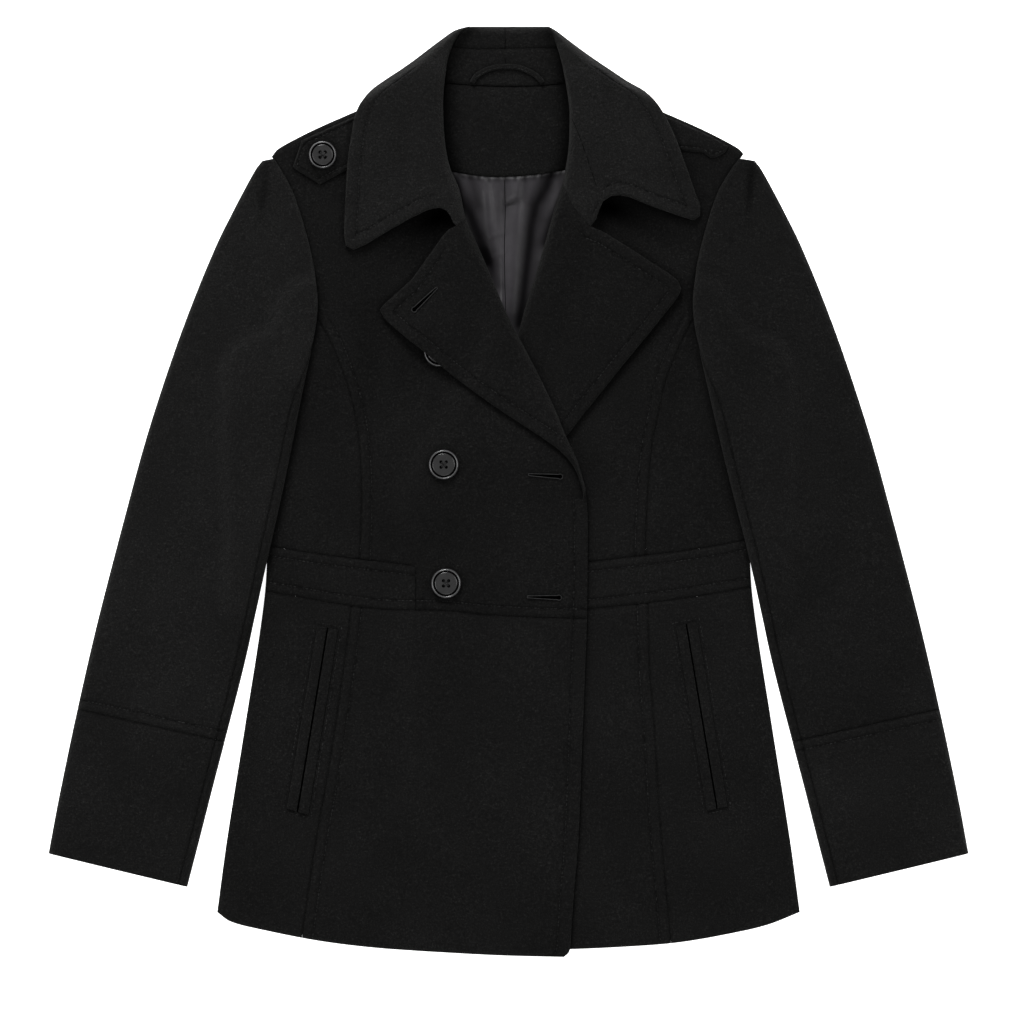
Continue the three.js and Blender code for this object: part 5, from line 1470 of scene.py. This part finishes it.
def build_loop():
    """The hanger loop: a narrow folded tape in an arc on the stand."""
    line = even(smooth_line(LOOP_LINE))(np.linspace(0, 1, 72))
    tangent = unit(np.gradient(line, axis=0))
    normal = np.stack([-tangent[:, 1], tangent[:, 0]], -1)
    around = np.arange(20) * math.tau / 20
    wide = LOOP_WIDTH / 2 * np.sign(np.cos(around)) * np.abs(np.cos(around)) ** 0.8
    up = LOOP_HEIGHT / 2 * np.sign(np.sin(around)) * np.abs(np.sin(around)) ** 0.8
    ring_wide, ring_up = np.append(wide, wide[0]), np.append(up, up[0])
    middle_z = STAND_TOP + GAP + LOOP_HEIGHT / 2

    def folded(share):
        """The tape's outer or inner face, all round."""
        side_way = ring_wide * share
        rise = middle_z + ring_up * share
        flat = line[:, None, :] + normal[:, None, :] * side_way[None, :, None]
        return np.concatenate([flat, np.broadcast_to(rise[None, :, None], (*flat.shape[:2], 1))], -1)

    points, faces = wall(folded(1.0), folded(LOOP_INNER), True)
    loop_piece = add_mesh("hanger_loop_cloth", points, faces, wool_neck_shaded, "wool", "hanger_loop")
    girth = float(np.hypot(np.diff(ring_wide), np.diff(ring_up)).sum())
    length = float(np.linalg.norm(np.diff(line, axis=0), axis=1).sum())
    declare(loop_piece, girth, length, girth * length * (1 + LOOP_INNER) / 2, ["collar_stand"])
    top_z = middle_z + LOOP_HEIGHT / 2 - 0.1
    edge_line = np.column_stack([line - normal * 0.9, np.full(len(line), top_z)])
    all_stitches.append(edge_line[4:-4])


def smooth_line(points, count=120):
    points = np.asarray(points, float)
    keys = np.arange(len(points))
    t = np.linspace(0, len(points) - 1, count)
    return np.stack([table(np.column_stack([keys, points[:, k]]))(t) for k in (0, 1)], -1)


def tube_mesh(rings):
    """A closed tube through rings of equal count."""
    count = len(rings[0])
    points = [p for ring in rings for p in ring]
    faces = []
    for start in range(0, (len(rings) - 1) * count, count):
        for i in range(count):
            k = (i + 1) % count
            faces.append((start + i, start + k, start + count + k, start + count + i))
    faces.append(tuple(range(count))[::-1])
    faces.append(tuple((len(rings) - 1) * count + i for i in range(count)))
    return points, faces


def joined(parts):
    """One set of points and faces out of several."""
    points, faces = [], []
    for q, f in parts:
        faces += [tuple(i + len(points) for i in face) for face in f]
        points += [tuple(point) for point in q]
    return points, faces


def unit(v):
    """Vectors of length 1, along the last axis."""
    return v / np.linalg.norm(v, axis=-1, keepdims=True)


# Sleeves: flattened tubes that rise over the body's side
def lap_of(width):
    """The way round a flattened sleeve."""
    return 2 * (width - SLEEVE_HEIGHT + math.pi * SLEEVE_HEIGHT / 2)


def tube_point(width, height, around, inset):
    """Distance from the inner edge and height, for a place around the flattened tube."""
    lap = around - np.floor(around)
    radius = height / 2
    r = radius - inset * np.minimum(1, radius / FULL_RADIUS)
    arc = math.pi / 2 * radius
    flat = width - 2 * radius
    upper = lap < 0.5
    s = np.where(upper, lap, 1 - lap) * 2 * (flat + 2 * arc)
    past = s - arc - flat
    a = np.where(s < arc, radius - r * np.cos(s / radius),
                 np.where(past > 0, radius + flat + r * np.sin(past / radius), s - arc + radius))
    rise = np.where(s < arc, r * np.sin(s / radius), np.where(past > 0, r * np.cos(past / radius), r))
    return a, radius + np.where(upper, rise, -rise)


# Half of the gap between two sewn sleeve pieces
HAIR = 0.05
SLEEVE_SQUASH = 0.8
SLEEVE_CROWN = 2.2
SLEEVE_STITCH = 8.4
SLEEVE_STEP = 3.3
AROUND_STEP = 2.2


def build_sleeve(side):
    word = WORD[side]
    columns = [table(np.column_stack([np.arange(len(SLEEVE)), SLEEVE[:, k]])) for k in range(5)]

    def at(row):
        ix, iy, ox, oy, lean = (c(row) for c in columns)
        tucked = SLEEVE_SET - HEAD_TUCK * smooth(HEAD_ROW - 1, HEAD_ROW + 1, row)
        inner = np.stack([side * (ix + tucked) + ARMHOLE_LEAN * lean, iy], -1)
        return inner, np.stack([side * ox, oy], -1)

    def width_at(row):
        inner, outer = at(row)
        return np.linalg.norm(outer - inner, axis=-1)

    fine_rows = np.linspace(0, len(SLEEVE) - 1, 600)
    inner, outer = at(fine_rows)
    middle = (inner + outer) / 2
    reach = np.concatenate([[0], np.cumsum(np.linalg.norm(np.diff(middle, axis=0), axis=1))])

    def reach_of(row):
        return np.interp(row, fine_rows, reach)

    def lift(row, around, inset, detailed):
        inner, outer = at(row)
        width = np.linalg.norm(outer - inner, axis=-1)
        height = np.minimum(SLEEVE_HEIGHT, width * SLEEVE_SQUASH)
        a, z = tube_point(width, height, around, inset)
        xy = mix(inner, outer, (a / width)[..., None])
        x, y = xy[..., 0], xy[..., 1]
        base = (front_top(side, x, y) + GAP) * drape(in_sleeve[side], x, y, *SLEEVE_DRAPE)
        upper = smooth(0.5, 0.9, z / height)
        share = clamp(a / width)
        crown = SLEEVE_CROWN * (1 - (2 * share - 1) ** 2) * smooth(20, 90, width) * upper
        extra = crown if detailed is None else crown + detailed * upper
        return np.stack([x, y, z + base + extra], -1)

    def top_seam(row):
        lap = mix(TOP_SEAM_LAP, ARMHOLE_SEAM_LAP, smooth(UNDERARM_ROW - 1.4, UNDERARM_ROW - 0.2, row))
        return lap / lap_of(width_at(row))

    def floor_seam(row):
        return 1 - mix(FLOOR_SEAM_SHARE, 0.008, smooth(UNDERARM_ROW - 1.6, UNDERARM_ROW - 0.2, row))

    # The stitch line of the cuff seam: above it on the left sleeve, below it on the right one
    cuff_line = reach_of(CUFF_ROW) + (SLEEVE_STITCH if side < 0 else -SLEEVE_STITCH)

    def detail(row, lap_mm, lap_left):
        along = reach_of(row)
        total = -SEAM_DIP * (bell(lap_mm / SEAM_HALF) + bell(lap_left / SEAM_HALF))
        total = total - SEAM_DIP * bell((along - reach_of(CUFF_ROW)) / SEAM_HALF)
        total = total - GROOVE_DEPTH * bell((along - cuff_line) / GROOVE_HALF)
        between = (along - reach_of(CUFF_ROW)) / (cuff_line - reach_of(CUFF_ROW))
        return total + PUFF * np.sin(math.pi * clamp(between)) ** 2

    def build(name, row_from, row_to, start, end, low_kind, high_kind):
        low, high = reach_of(row_from) + HAIR, reach_of(row_to) - HAIR
        low_stitch = SLEEVE_STITCH if low_kind == "seam" and side < 0 else None
        high_stitch = SLEEVE_STITCH if high_kind == "seam" and side > 0 else None
        low_marks = with_stitch(MARKS[low_kind], low_stitch)
        high_marks = with_stitch(MARKS[high_kind], high_stitch)
        count = max(2, int((high - low) / SLEEVE_STEP))
        rows = np.interp(low + ladder(high - low, low_marks, high_marks, count), reach, fine_rows)
        middle_row = rows[len(rows) // 2]
        lap = lap_of(width_at(middle_row))
        length = float((end(middle_row) - start(middle_row)) * lap)
        shares = ladder(length, SEAM, SEAM, max(4, int(length / AROUND_STEP))) / length
        row = rows[:, None] + 0 * shares[None, :]
        around = mix(start(row), end(row), shares[None, :])
        laps = lap_of(width_at(row))
        from_start = (around - start(row)) * laps
        from_end = (end(row) - around) * laps
        plain = lift(row, around, 0, 0)
        marks = detail(row, from_start, from_end)
        calm = smooth(0, 20, np.minimum(from_start, from_end) + 14)
        outside = lift(row, around, 0, marks + calm * relief(plain[..., 0], plain[..., 1]))
        inside = lift(row, around, SLEEVE_WALL, None)
        along = reach_of(row)
        # Painted shade along the sleeve's seams, its cuff seam and the cuff's stitch line
        shade = 1 - SEAM_SHADE * bell(np.minimum(from_start, from_end) / SEAM_SHADE_HALF)
        shade = shade * (1 - SEAM_SHADE * bell((along - reach_of(CUFF_ROW)) / SEAM_SHADE_HALF))
        shade = (shade * (1 - STITCH_SHADE * bell((along - cuff_line) / STITCH_SHADE_HALF)))[..., None]
        points, faces = wall(np.concatenate([outside, shade], -1), np.concatenate([inside, shade], -1),
                             side < 0)
        piece = add_mesh(f"{name}_{word}_cloth", points, faces, wool, "wool", f"{name}_{word}")
        girths = (end(rows) - start(rows)) * lap_of(width_at(rows))
        declare(piece, float(np.max(girths)), high - low, float(np.mean(girths)) * (high - low),
                [f"centre_front_{word}", "floor"] if name == "sleeve_upper" else ["floor"])
        if low <= cuff_line <= high:
            line_row = np.full(300, float(np.interp(cuff_line, reach, fine_rows)))
            t = np.linspace(0.004, 0.996, 300)
            along_lap = mix(start(line_row), end(line_row), t)
            base = lift(line_row, along_lap, 0, 0)
            here = detail(line_row, np.full(300, 50.0), np.full(300, 50.0))
            here = here + relief(base[:, 0], base[:, 1])
            curve = lift(line_row, along_lap, 0, here)
            keep = (along_lap % 1) < 0.5
            for group in np.split(np.arange(300), np.flatnonzero(np.diff(keep)) + 1):
                if keep[group[0]] and len(group) > 8:
                    all_stitches.append(curve[group])

    last = len(SLEEVE) - 1

    def gap(row):
        return HAIR / lap_of(width_at(row))

    build("cuff", 0, CUFF_ROW, lambda r: top_seam(r) + gap(r), lambda r: 1 + top_seam(r) - gap(r),
          "free", "seam")
    build("sleeve_upper", CUFF_ROW, last, lambda r: top_seam(r) + gap(r),
          lambda r: floor_seam(r) - gap(r), "seam", "free")
    build("sleeve_under", CUFF_ROW, UNDER_TOP_ROW, lambda r: floor_seam(r) + gap(r),
          lambda r: 1 + top_seam(r) - gap(r), "seam", "free")


# Pockets, epaulettes, buttons, buttonholes and stitches
# Height of a welt, width of the slit between two and their stitch distance
WELT = 1.6
WELT_SLIT = 1.2
POCKET_STITCH = 2.6


def cloth_z(side, x, y):
    return front_top(side, x, y) + calm_relief(x, y)


def build_pocket(side):
    word = WORD[side]
    p = {k: np.array(v, float) for k, v in POCKET[side].items()}
    slit = WELT_SLIT / 2 / np.linalg.norm(p["top_far"] - p["top_near"])

    def lay(name, a, b, material, slot, base, height, node=None):
        corner = {(f, t): tuple(mix(p[f"{f}_far"], p[f"{f}_near"], t))
                  for f in ("foot", "top") for t in (a, b)}
        seams = {"outer": even([corner["foot", a], corner["top", a]]),
                 "inner": even([corner["foot", b], corner["top", b]]),
                 "bottom": even([corner["foot", a], corner["foot", b]]),
                 "top": even([corner["top", a], corner["top", b]])}
        return panel(name, side, seams, {k: "free" for k in seams},
                     lambda x, y, e: cloth_z(side, x, y) + base - 0.4,
                     lambda x, y, e: cloth_z(side, x, y) + base + height * (
                         0.25 + 0.75 * quarter(np.minimum(e["outer"], e["inner"]) / 3.2)),
                     step=2.0, material=material, slot=slot, node=node, rests=[f"skirt_side_{word}"])

    lay(f"welt_outer_{word}", 0.0, 0.5 - slit, wool, "wool", GAP, WELT)
    lay(f"welt_inner_{word}", 0.5 + slit, 1.0, wool, "wool", GAP, WELT)
    # A near-black sheet between the welts: painted shadow in the slit
    lay(f"pocket_slit_{word}", 0.5 - slit, 0.5 + slit, shadow_and_seam_black, "thread", 0.3, 0.3, node=False)
    middle = sum(p.values()) / 4
    long_way = (p["top_far"] + p["top_near"] - p["foot_far"] - p["foot_near"]) / 2
    long_way /= np.linalg.norm(long_way)
    frame_line = []
    for key in ("foot_far", "foot_near", "top_near", "top_far", "foot_far"):
        away = p[key] - middle
        cross = away - long_way * away.dot(long_way)
        frame_line.append(p[key] + cross / np.linalg.norm(cross) * POCKET_STITCH
                          + long_way * np.sign(away.dot(long_way)) * POCKET_STITCH)
    line = even(frame_line)(np.linspace(0, 1, 500))
    all_stitches.append(np.column_stack([line, cloth_z(side, line[:, 0], line[:, 1]) + 0.05]))


def build_strap(side):
    word = WORD[side]
    s = STRAPS[side]

    def upper(x, y, e):
        edge = np.minimum(np.minimum(e["outer"], e["bottom"]), e["top"])
        return front_skin(side, x, y) + REST + STRAP * (0.5 + 0.5 * quarter(edge / 2.2)) - 0.9 * (side > 0)

    panel(f"epaulette_{word}", side, {
        "outer": even(s["end"]), "inner": even([s["lower"][-1], s["upper"][-1]]),
        "bottom": even(s["lower"]), "top": even(s["upper"]),
    }, kinds_of("free", "free", "free", "free"), lambda x, y, e: front_skin(side, x, y) + 0.2, upper,
        stitches={"outer": 4.2, "bottom": 4.2, "top": 4.2} if side < 0 else {"bottom": 3.4},
        spans={"outer": (0.12, 0.88), "bottom": (0.06, 1.0), "top": (0.05, 1.0)}, step=2.0,
        rests=[f"centre_front_{word}"])


# Each point's radius and height, as shares of the button's own
BUTTON_PROFILE = [(0, 0), (0.86, 0), (0.96, 0.10), (1, 0.34), (0.995, 0.62), (0.965, 0.87),
                  (0.935, 0.985), (0.90, 1.0), (0.875, 0.95), (0.855, 0.84), (0.84, 0.62),
                  (0.81, 0.56), (0.77, 0.60), (0.745, 0.72), (0.7, 0.76), (0.4, 0.72), (0.2, 0.69), (0, 0.68)]
HOLE_RADIUS = 1.35
HOLE_PITCH = 2.2
STRAND = 0.22
# Where the rim's painted highlight and the groove's painted shade begin, as shares of the radius
RIM_FROM = 0.865
GROOVE_FROM = 0.755


def lathe(profile, segments):
    """A closed shape turned from (radius, height) points."""
    angles = np.arange(segments) * math.tau / segments
    points = [(0, 0, profile[0][1])]
    for r, z in profile[1:-1]:
        points += [(r * math.cos(a), r * math.sin(a), z) for a in angles]
    points.append((0, 0, profile[-1][1]))
    rings = len(profile) - 2
    faces = [(0, 1 + (i + 1) % segments, 1 + i) for i in range(segments)]
    for j in range(rings - 1):
        for i in range(segments):
            k = (i + 1) % segments
            low, high = 1 + j * segments, 1 + (j + 1) * segments
            faces.append((low + i, low + k, high + k, high + i))
    top = 1 + (rings - 1) * segments
    faces += [(top + i, top + (i + 1) % segments, len(points) - 1) for i in range(segments)]
    return np.array(points), faces


def cut_out(piece, points, faces):
    """Cuts a closed shape out of a piece and returns the piece's new mesh."""
    mesh = bpy.data.meshes.new("drill")
    mesh.from_pydata((np.array(points) * MM).tolist(), [], faces)
    drill = bpy.data.objects.new("drill", mesh)
    bpy.context.scene.collection.objects.link(drill)
    cut = piece.modifiers.new("holes", "BOOLEAN")
    cut.object = drill
    cut.operation = "DIFFERENCE"
    cut.solver = "EXACT"
    bpy.context.view_layer.update()
    done = bpy.data.meshes.new_from_object(piece.evaluated_get(bpy.context.evaluated_depsgraph_get()))
    piece.modifiers.clear()
    piece.data = done
    bpy.data.objects.remove(drill)
    return done


def build_button(name, x, y, z, radius, tilt):
    """A four-hole button with a rolled rim, lying on the cloth's slope, and its crossed thread."""
    rise = np.array(tilt)

    def settle(q):
        q = np.array(q, float)
        q[:, 2] += q[:, :2] @ rise + z
        q[:, 0] += x
        q[:, 1] += y
        return q

    points, faces = lathe([(r * radius, h * BUTTON_HEIGHT) for r, h in BUTTON_PROFILE], 96)
    button = add_mesh(f"{name}_body", settle(points), faces, horn, "button", name)
    low, high = -3, BUTTON_HEIGHT + 3
    drills = []
    for sx, sy in ((-1, -1), (1, -1), (1, 1), (-1, 1)):
        q, f = lathe([(0, low), (HOLE_RADIUS, low), (HOLE_RADIUS, high), (0, high)], 24)
        q[:, 0] += sx * HOLE_PITCH
        q[:, 1] += sy * HOLE_PITCH
        drills.append((settle(q), f))
    done = cut_out(button, *joined(drills))
    done.polygons.foreach_set("use_smooth", np.ones(len(done.polygons), bool))
    done.set_sharp_from_angle(angle=math.radians(55))
    done.materials.append(horn_rim_highlight)
    done.materials.append(horn_groove_shadow)
    # Rim faces get the painted highlight; groove and hole faces get the painted shade
    for face in done.polygons:
        dx, dy = face.center.x / MM - x, face.center.y / MM - y
        reach = math.hypot(dx, dy) / radius
        in_hole = math.hypot(abs(dx) - HOLE_PITCH, abs(dy) - HOLE_PITCH) < HOLE_RADIUS * 1.02
        if RIM_FROM < reach < 1.01:
            face.material_index = 1
        elif GROOVE_FROM < reach <= RIM_FROM or in_hole:
            face.material_index = 2

    face_z = 0.72 * BUTTON_HEIGHT
    ring = np.arange(8) * math.tau / 8
    strands = []
    for turn in (45, -45):
        a = math.radians(turn)
        along, off = np.array([math.cos(a), math.sin(a)]), np.array([-math.sin(a), math.cos(a)])
        for lane in (-0.3, 0.3):
            t = np.linspace(-1, 1, 15)
            reach_out = HOLE_PITCH * math.sqrt(2) * 1.02
            line = along * (t * reach_out)[:, None] + off * lane * (1 - 0.35 * t[:, None] ** 2)
            over = face_z + STRAND + (0.55 + 0.18 * (turn > 0)) * (1 - t ** 4) - 1.6 * np.abs(t) ** 12
            q, f = tube_mesh([[(*(line[k] + off * STRAND * math.cos(b)), over[k] + STRAND * math.sin(b))
                               for b in ring] for k in range(len(t))])
            strands.append((settle(q), f))
    add_mesh(f"{name}_thread", *joined(strands), thread, "thread")


def build_buttons():
    for name, (x, y) in BUTTONS.items():
        z = seat(x, y, BUTTON_RADIUS) + GAP
        build_button(name, x, y, z, BUTTON_RADIUS, tilt_at(x, y, BUTTON_RADIUS))
    x, y = STRAP_BUTTON
    z = seat(x, y, STRAP_BUTTON_RADIUS) + STRAP + REST + GAP
    build_button("button_epaulette", x, y, z, STRAP_BUTTON_RADIUS, tilt_at(x, y, STRAP_BUTTON_RADIUS))


def tilt_at(x, y, r):
    """Half the slope of the cloth under a button."""
    dx = (front_top(-1, x + r, y) - front_top(-1, x - r, y)) / (2 * r)
    dy = (front_top(-1, x, y + r) - front_top(-1, x, y - r)) / (2 * r)
    return 0.5 * float(dx), 0.5 * float(dy)


# A worked buttonhole: its eye, the slit at the eye and at the mouth, and its stitches
HOLE_EYE = 2.15
HOLE_NECK = 0.78
HOLE_MOUTH = 1.7
BAR_PITCH = 0.55
BAR_LENGTH = 0.4
BAR_THICK = 0.27
# Along a stitch: place, thickness and rise
BAR_SHAPE = ((-0.95, 0.6, 0.35), (-0.35, 1.0, 0.85), (0.35, 1.0, 0.85), (1.0, 0.55, 0.15))
STITCH_SHAPE = ((-0.5, 0.45, -0.22), (-0.3, 0.9, 0.02), (0.0, 1.0, 0.08), (0.3, 0.9, 0.02),
                (0.5, 0.45, -0.22))
SIX = np.arange(6) * math.tau / 6


def build_buttonhole(name, x, y, turn, on_lapel):
    """Radial purl stitches round a keyhole slit that widens to its eye, over a near-black sheet that paints
    the shadow of the opening.
    """
    half = HOLE_LENGTH / 2
    eye_x = half - HOLE_EYE - BAR_LENGTH
    a = np.linspace(-2.3, 2.3, 40)
    eye = np.stack([eye_x + HOLE_EYE * np.cos(a), HOLE_EYE * np.sin(a)], -1)
    slot = np.array([(-half + 1, -HOLE_NECK), (eye_x - 2 * HOLE_EYE, -HOLE_MOUTH)])
    path = np.concatenate([slot, eye, slot[::-1] * (1, -1), slot[:1]])
    way = even(path)
    reach = float(np.sum(np.hypot(*np.diff(path, axis=0).T)))
    count = int(reach / BAR_PITCH)
    t = (np.arange(count) + 0.5) / count
    places = way(t)
    tangent = unit(way(t + 0.004) - way(t - 0.004))
    outward = np.stack([tangent[:, 1], -tangent[:, 0]], -1)
    turned = math.radians(turn)
    spin = np.array([[math.cos(turned), -math.sin(turned)], [math.sin(turned), math.cos(turned)]])

    def skin(px, py):
        if on_lapel:
            return turn_under(-1, px, py) + TURNED
        return front_top(-1, px, py)

    def to_cloth(flat, up):
        world = flat @ spin.T + (x, y)
        return np.column_stack([world, skin(world[:, 0], world[:, 1]) + up])

    bars = []
    for k in range(count):
        rows = []
        for q, fat, up in BAR_SHAPE:
            centre = places[k] + outward[k] * q * BAR_LENGTH
            ring = centre + tangent[k] * (BAR_THICK * fat * np.cos(SIX))[:, None]
            rows.append(to_cloth(ring, up + BAR_THICK * fat * np.sin(SIX)).tolist())
        bars.append(tube_mesh(rows))
    add_mesh(f"{name}_purl", *joined(bars), hole_thread, "thread", name)

    # The opening: a near-black sheet, painted shadow
    t = np.arange(80) / 80
    ring = way(t)
    top = to_cloth(ring, np.full(len(ring), 0.4))
    bottom = to_cloth(ring, np.full(len(ring), -0.9))
    points = np.concatenate([top, bottom]).tolist()
    n = len(ring)
    faces = [tuple(range(n)), tuple(range(2 * n - 1, n - 1, -1))]
    faces += [(i, i + n, (i + 1) % n + n, (i + 1) % n) for i in range(n)]
    add_mesh(f"{name}_slit", points, faces, shadow_and_seam_black, "thread")


def build_stitches():
    """Every stitch of the topstitching: a short thread, thicker in its middle."""
    parts = []
    for line in all_stitches:
        reach = np.concatenate([[0], np.cumsum(np.linalg.norm(np.diff(line, axis=0), axis=1))])
        for k in range(int(reach[-1] / STITCH_PITCH)):
            middle = (k + 0.5) * STITCH_PITCH
            at, to = (np.array([np.interp(place, reach, line[:, i]) for i in range(3)])
                      for place in (middle, middle + 0.6))
            ahead = to - at
            ahead /= np.linalg.norm(ahead) or 1.0
            across_way = np.cross((0, 0, 1), ahead)
            across_way /= np.linalg.norm(across_way) or 1.0
            up = np.cross(ahead, across_way)
            rings = []
            for share, fat, rise in STITCH_SHAPE:
                centre = at + ahead * share * STITCH_LENGTH + up * (rise + 0.12)
                rings.append([centre + across_way * STITCH_WIDTH / 2 * fat * math.cos(b)
                              + up * STITCH_WIDTH / 2 * fat * math.sin(b) for b in SIX])
            parts.append(tube_mesh(rings))
    add_mesh("topstitching", *joined(parts), thread, "thread")


# Seams that show as a thin dark line: piece, path
SEAM_LINES = {
    "back_lining": [(-3.2, 261), (-2.6, 236), (-3.4, 205), (-3.0, 172), (-2.2, 146)],
    "collar_inside": [(-2.8, 364), (-2.9, 389.4)],
    "collar_stand": [(-2.9, 358.5), (-2.8, 363.4)],
    "collar_wing_right": [(53.3, 312), (60, 296), (67, 276), (73.5, 256)],
}
SEAM_LINE_RADIUS = 0.3


def build_seam_lines():
    """A thin dark cord sunk in the cloth along each of those seams."""
    for name, path in SEAM_LINES.items():
        mesh = bpy.data.objects[f"{name}_cloth"].data
        tree = BVHTree.FromPolygons([v.co for v in mesh.vertices], [p.vertices for p in mesh.polygons])
        rings = []
        for x, y in even(path)(np.linspace(0, 1, 70)):
            hit = tree.ray_cast(Vector((x * MM, y * MM, 1.0)), Vector((0, 0, -1)))[0]
            if hit is not None:
                z = hit.z / MM - 0.1
                rings.append([(x + SEAM_LINE_RADIUS * math.cos(b), y, z + SEAM_LINE_RADIUS * math.sin(b))
                              for b in SIX])
        add_mesh(f"{name}_seam_line", *tube_mesh(rings), shadow_and_seam_black, "thread")


# Camera, floor and lights
VIEW_CENTRE = (2.94, -17.2)
VIEW_HEIGHT = 6.0
VIEW_WIDTH = 0.86
SENSOR = 36.0
FLOOR_SIZE = 9
FLOOR_Z = -0.0004
SKY_STRENGTH = 0.5
# Place, size and power
LIGHTS = {"key": ((-0.7, 2.9, 2.0), 1.3, 130), "fill": ((2.4, 0.6, 2.6), 2.0, 50),
          "side": ((-2.6, -0.4, 2.3), 1.8, 42), "low": ((0.2, -2.8, 2.6), 2.2, 30)}


def build_studio():
    scene = bpy.context.scene
    camera = bpy.data.objects.new("camera", bpy.data.cameras.new("camera"))
    camera.data.sensor_width = SENSOR
    camera.data.lens = SENSOR * VIEW_HEIGHT / VIEW_WIDTH
    camera.data.clip_end = 50
    camera.location = (VIEW_CENTRE[0] * MM, VIEW_CENTRE[1] * MM, VIEW_HEIGHT)
    scene.collection.objects.link(camera)
    scene.camera = camera

    bpy.ops.mesh.primitive_plane_add(size=FLOOR_SIZE, location=(0, 0, FLOOR_Z))
    floor = bpy.context.object
    floor.name = "floor"
    paper = Look("floor_paper")
    tone = paper.ramp(paper.noise(scale=30, detail=3, rough=0.5), (0.3, grey(0.93)), (0.7, grey(0.95)))
    paper.give(paper.shader, {"Base Color": tone, "Roughness": 0.95, "Specular IOR Level": 0.1,
                              "Emission Color": tone, "Emission Strength": 1.0})
    floor.data.materials.append(paper.material)

    for name, (place, size, power) in LIGHTS.items():
        light = bpy.data.objects.new(name, bpy.data.lights.new(name, "AREA"))
        light.data.size = size
        light.data.energy = power
        light.location = place
        light.rotation_euler = (-Vector(place)).to_track_quat("-Z", "Y").to_euler()
        scene.collection.objects.link(light)

    scene.world = bpy.data.worlds.new("studio")
    scene.world.use_nodes = True
    sky = scene.world.node_tree.nodes["Background"].inputs
    sky["Color"].default_value = rgb(1.0, 1.0, 0.985)
    sky["Strength"].default_value = SKY_STRENGTH
    scene.view_settings.view_transform = "Standard"


build_studio()
build_back()
for half in (-1, 1):
    build_front(half)
    build_lapel(half)
    build_wing(half)
    build_sleeve(half)
    build_pocket(half)
    build_strap(half)
build_neck()
build_loop()
build_buttons()
for hole, facts in BUTTONHOLES.items():
    build_buttonhole(hole, *facts)
build_stitches()
build_seam_lines()
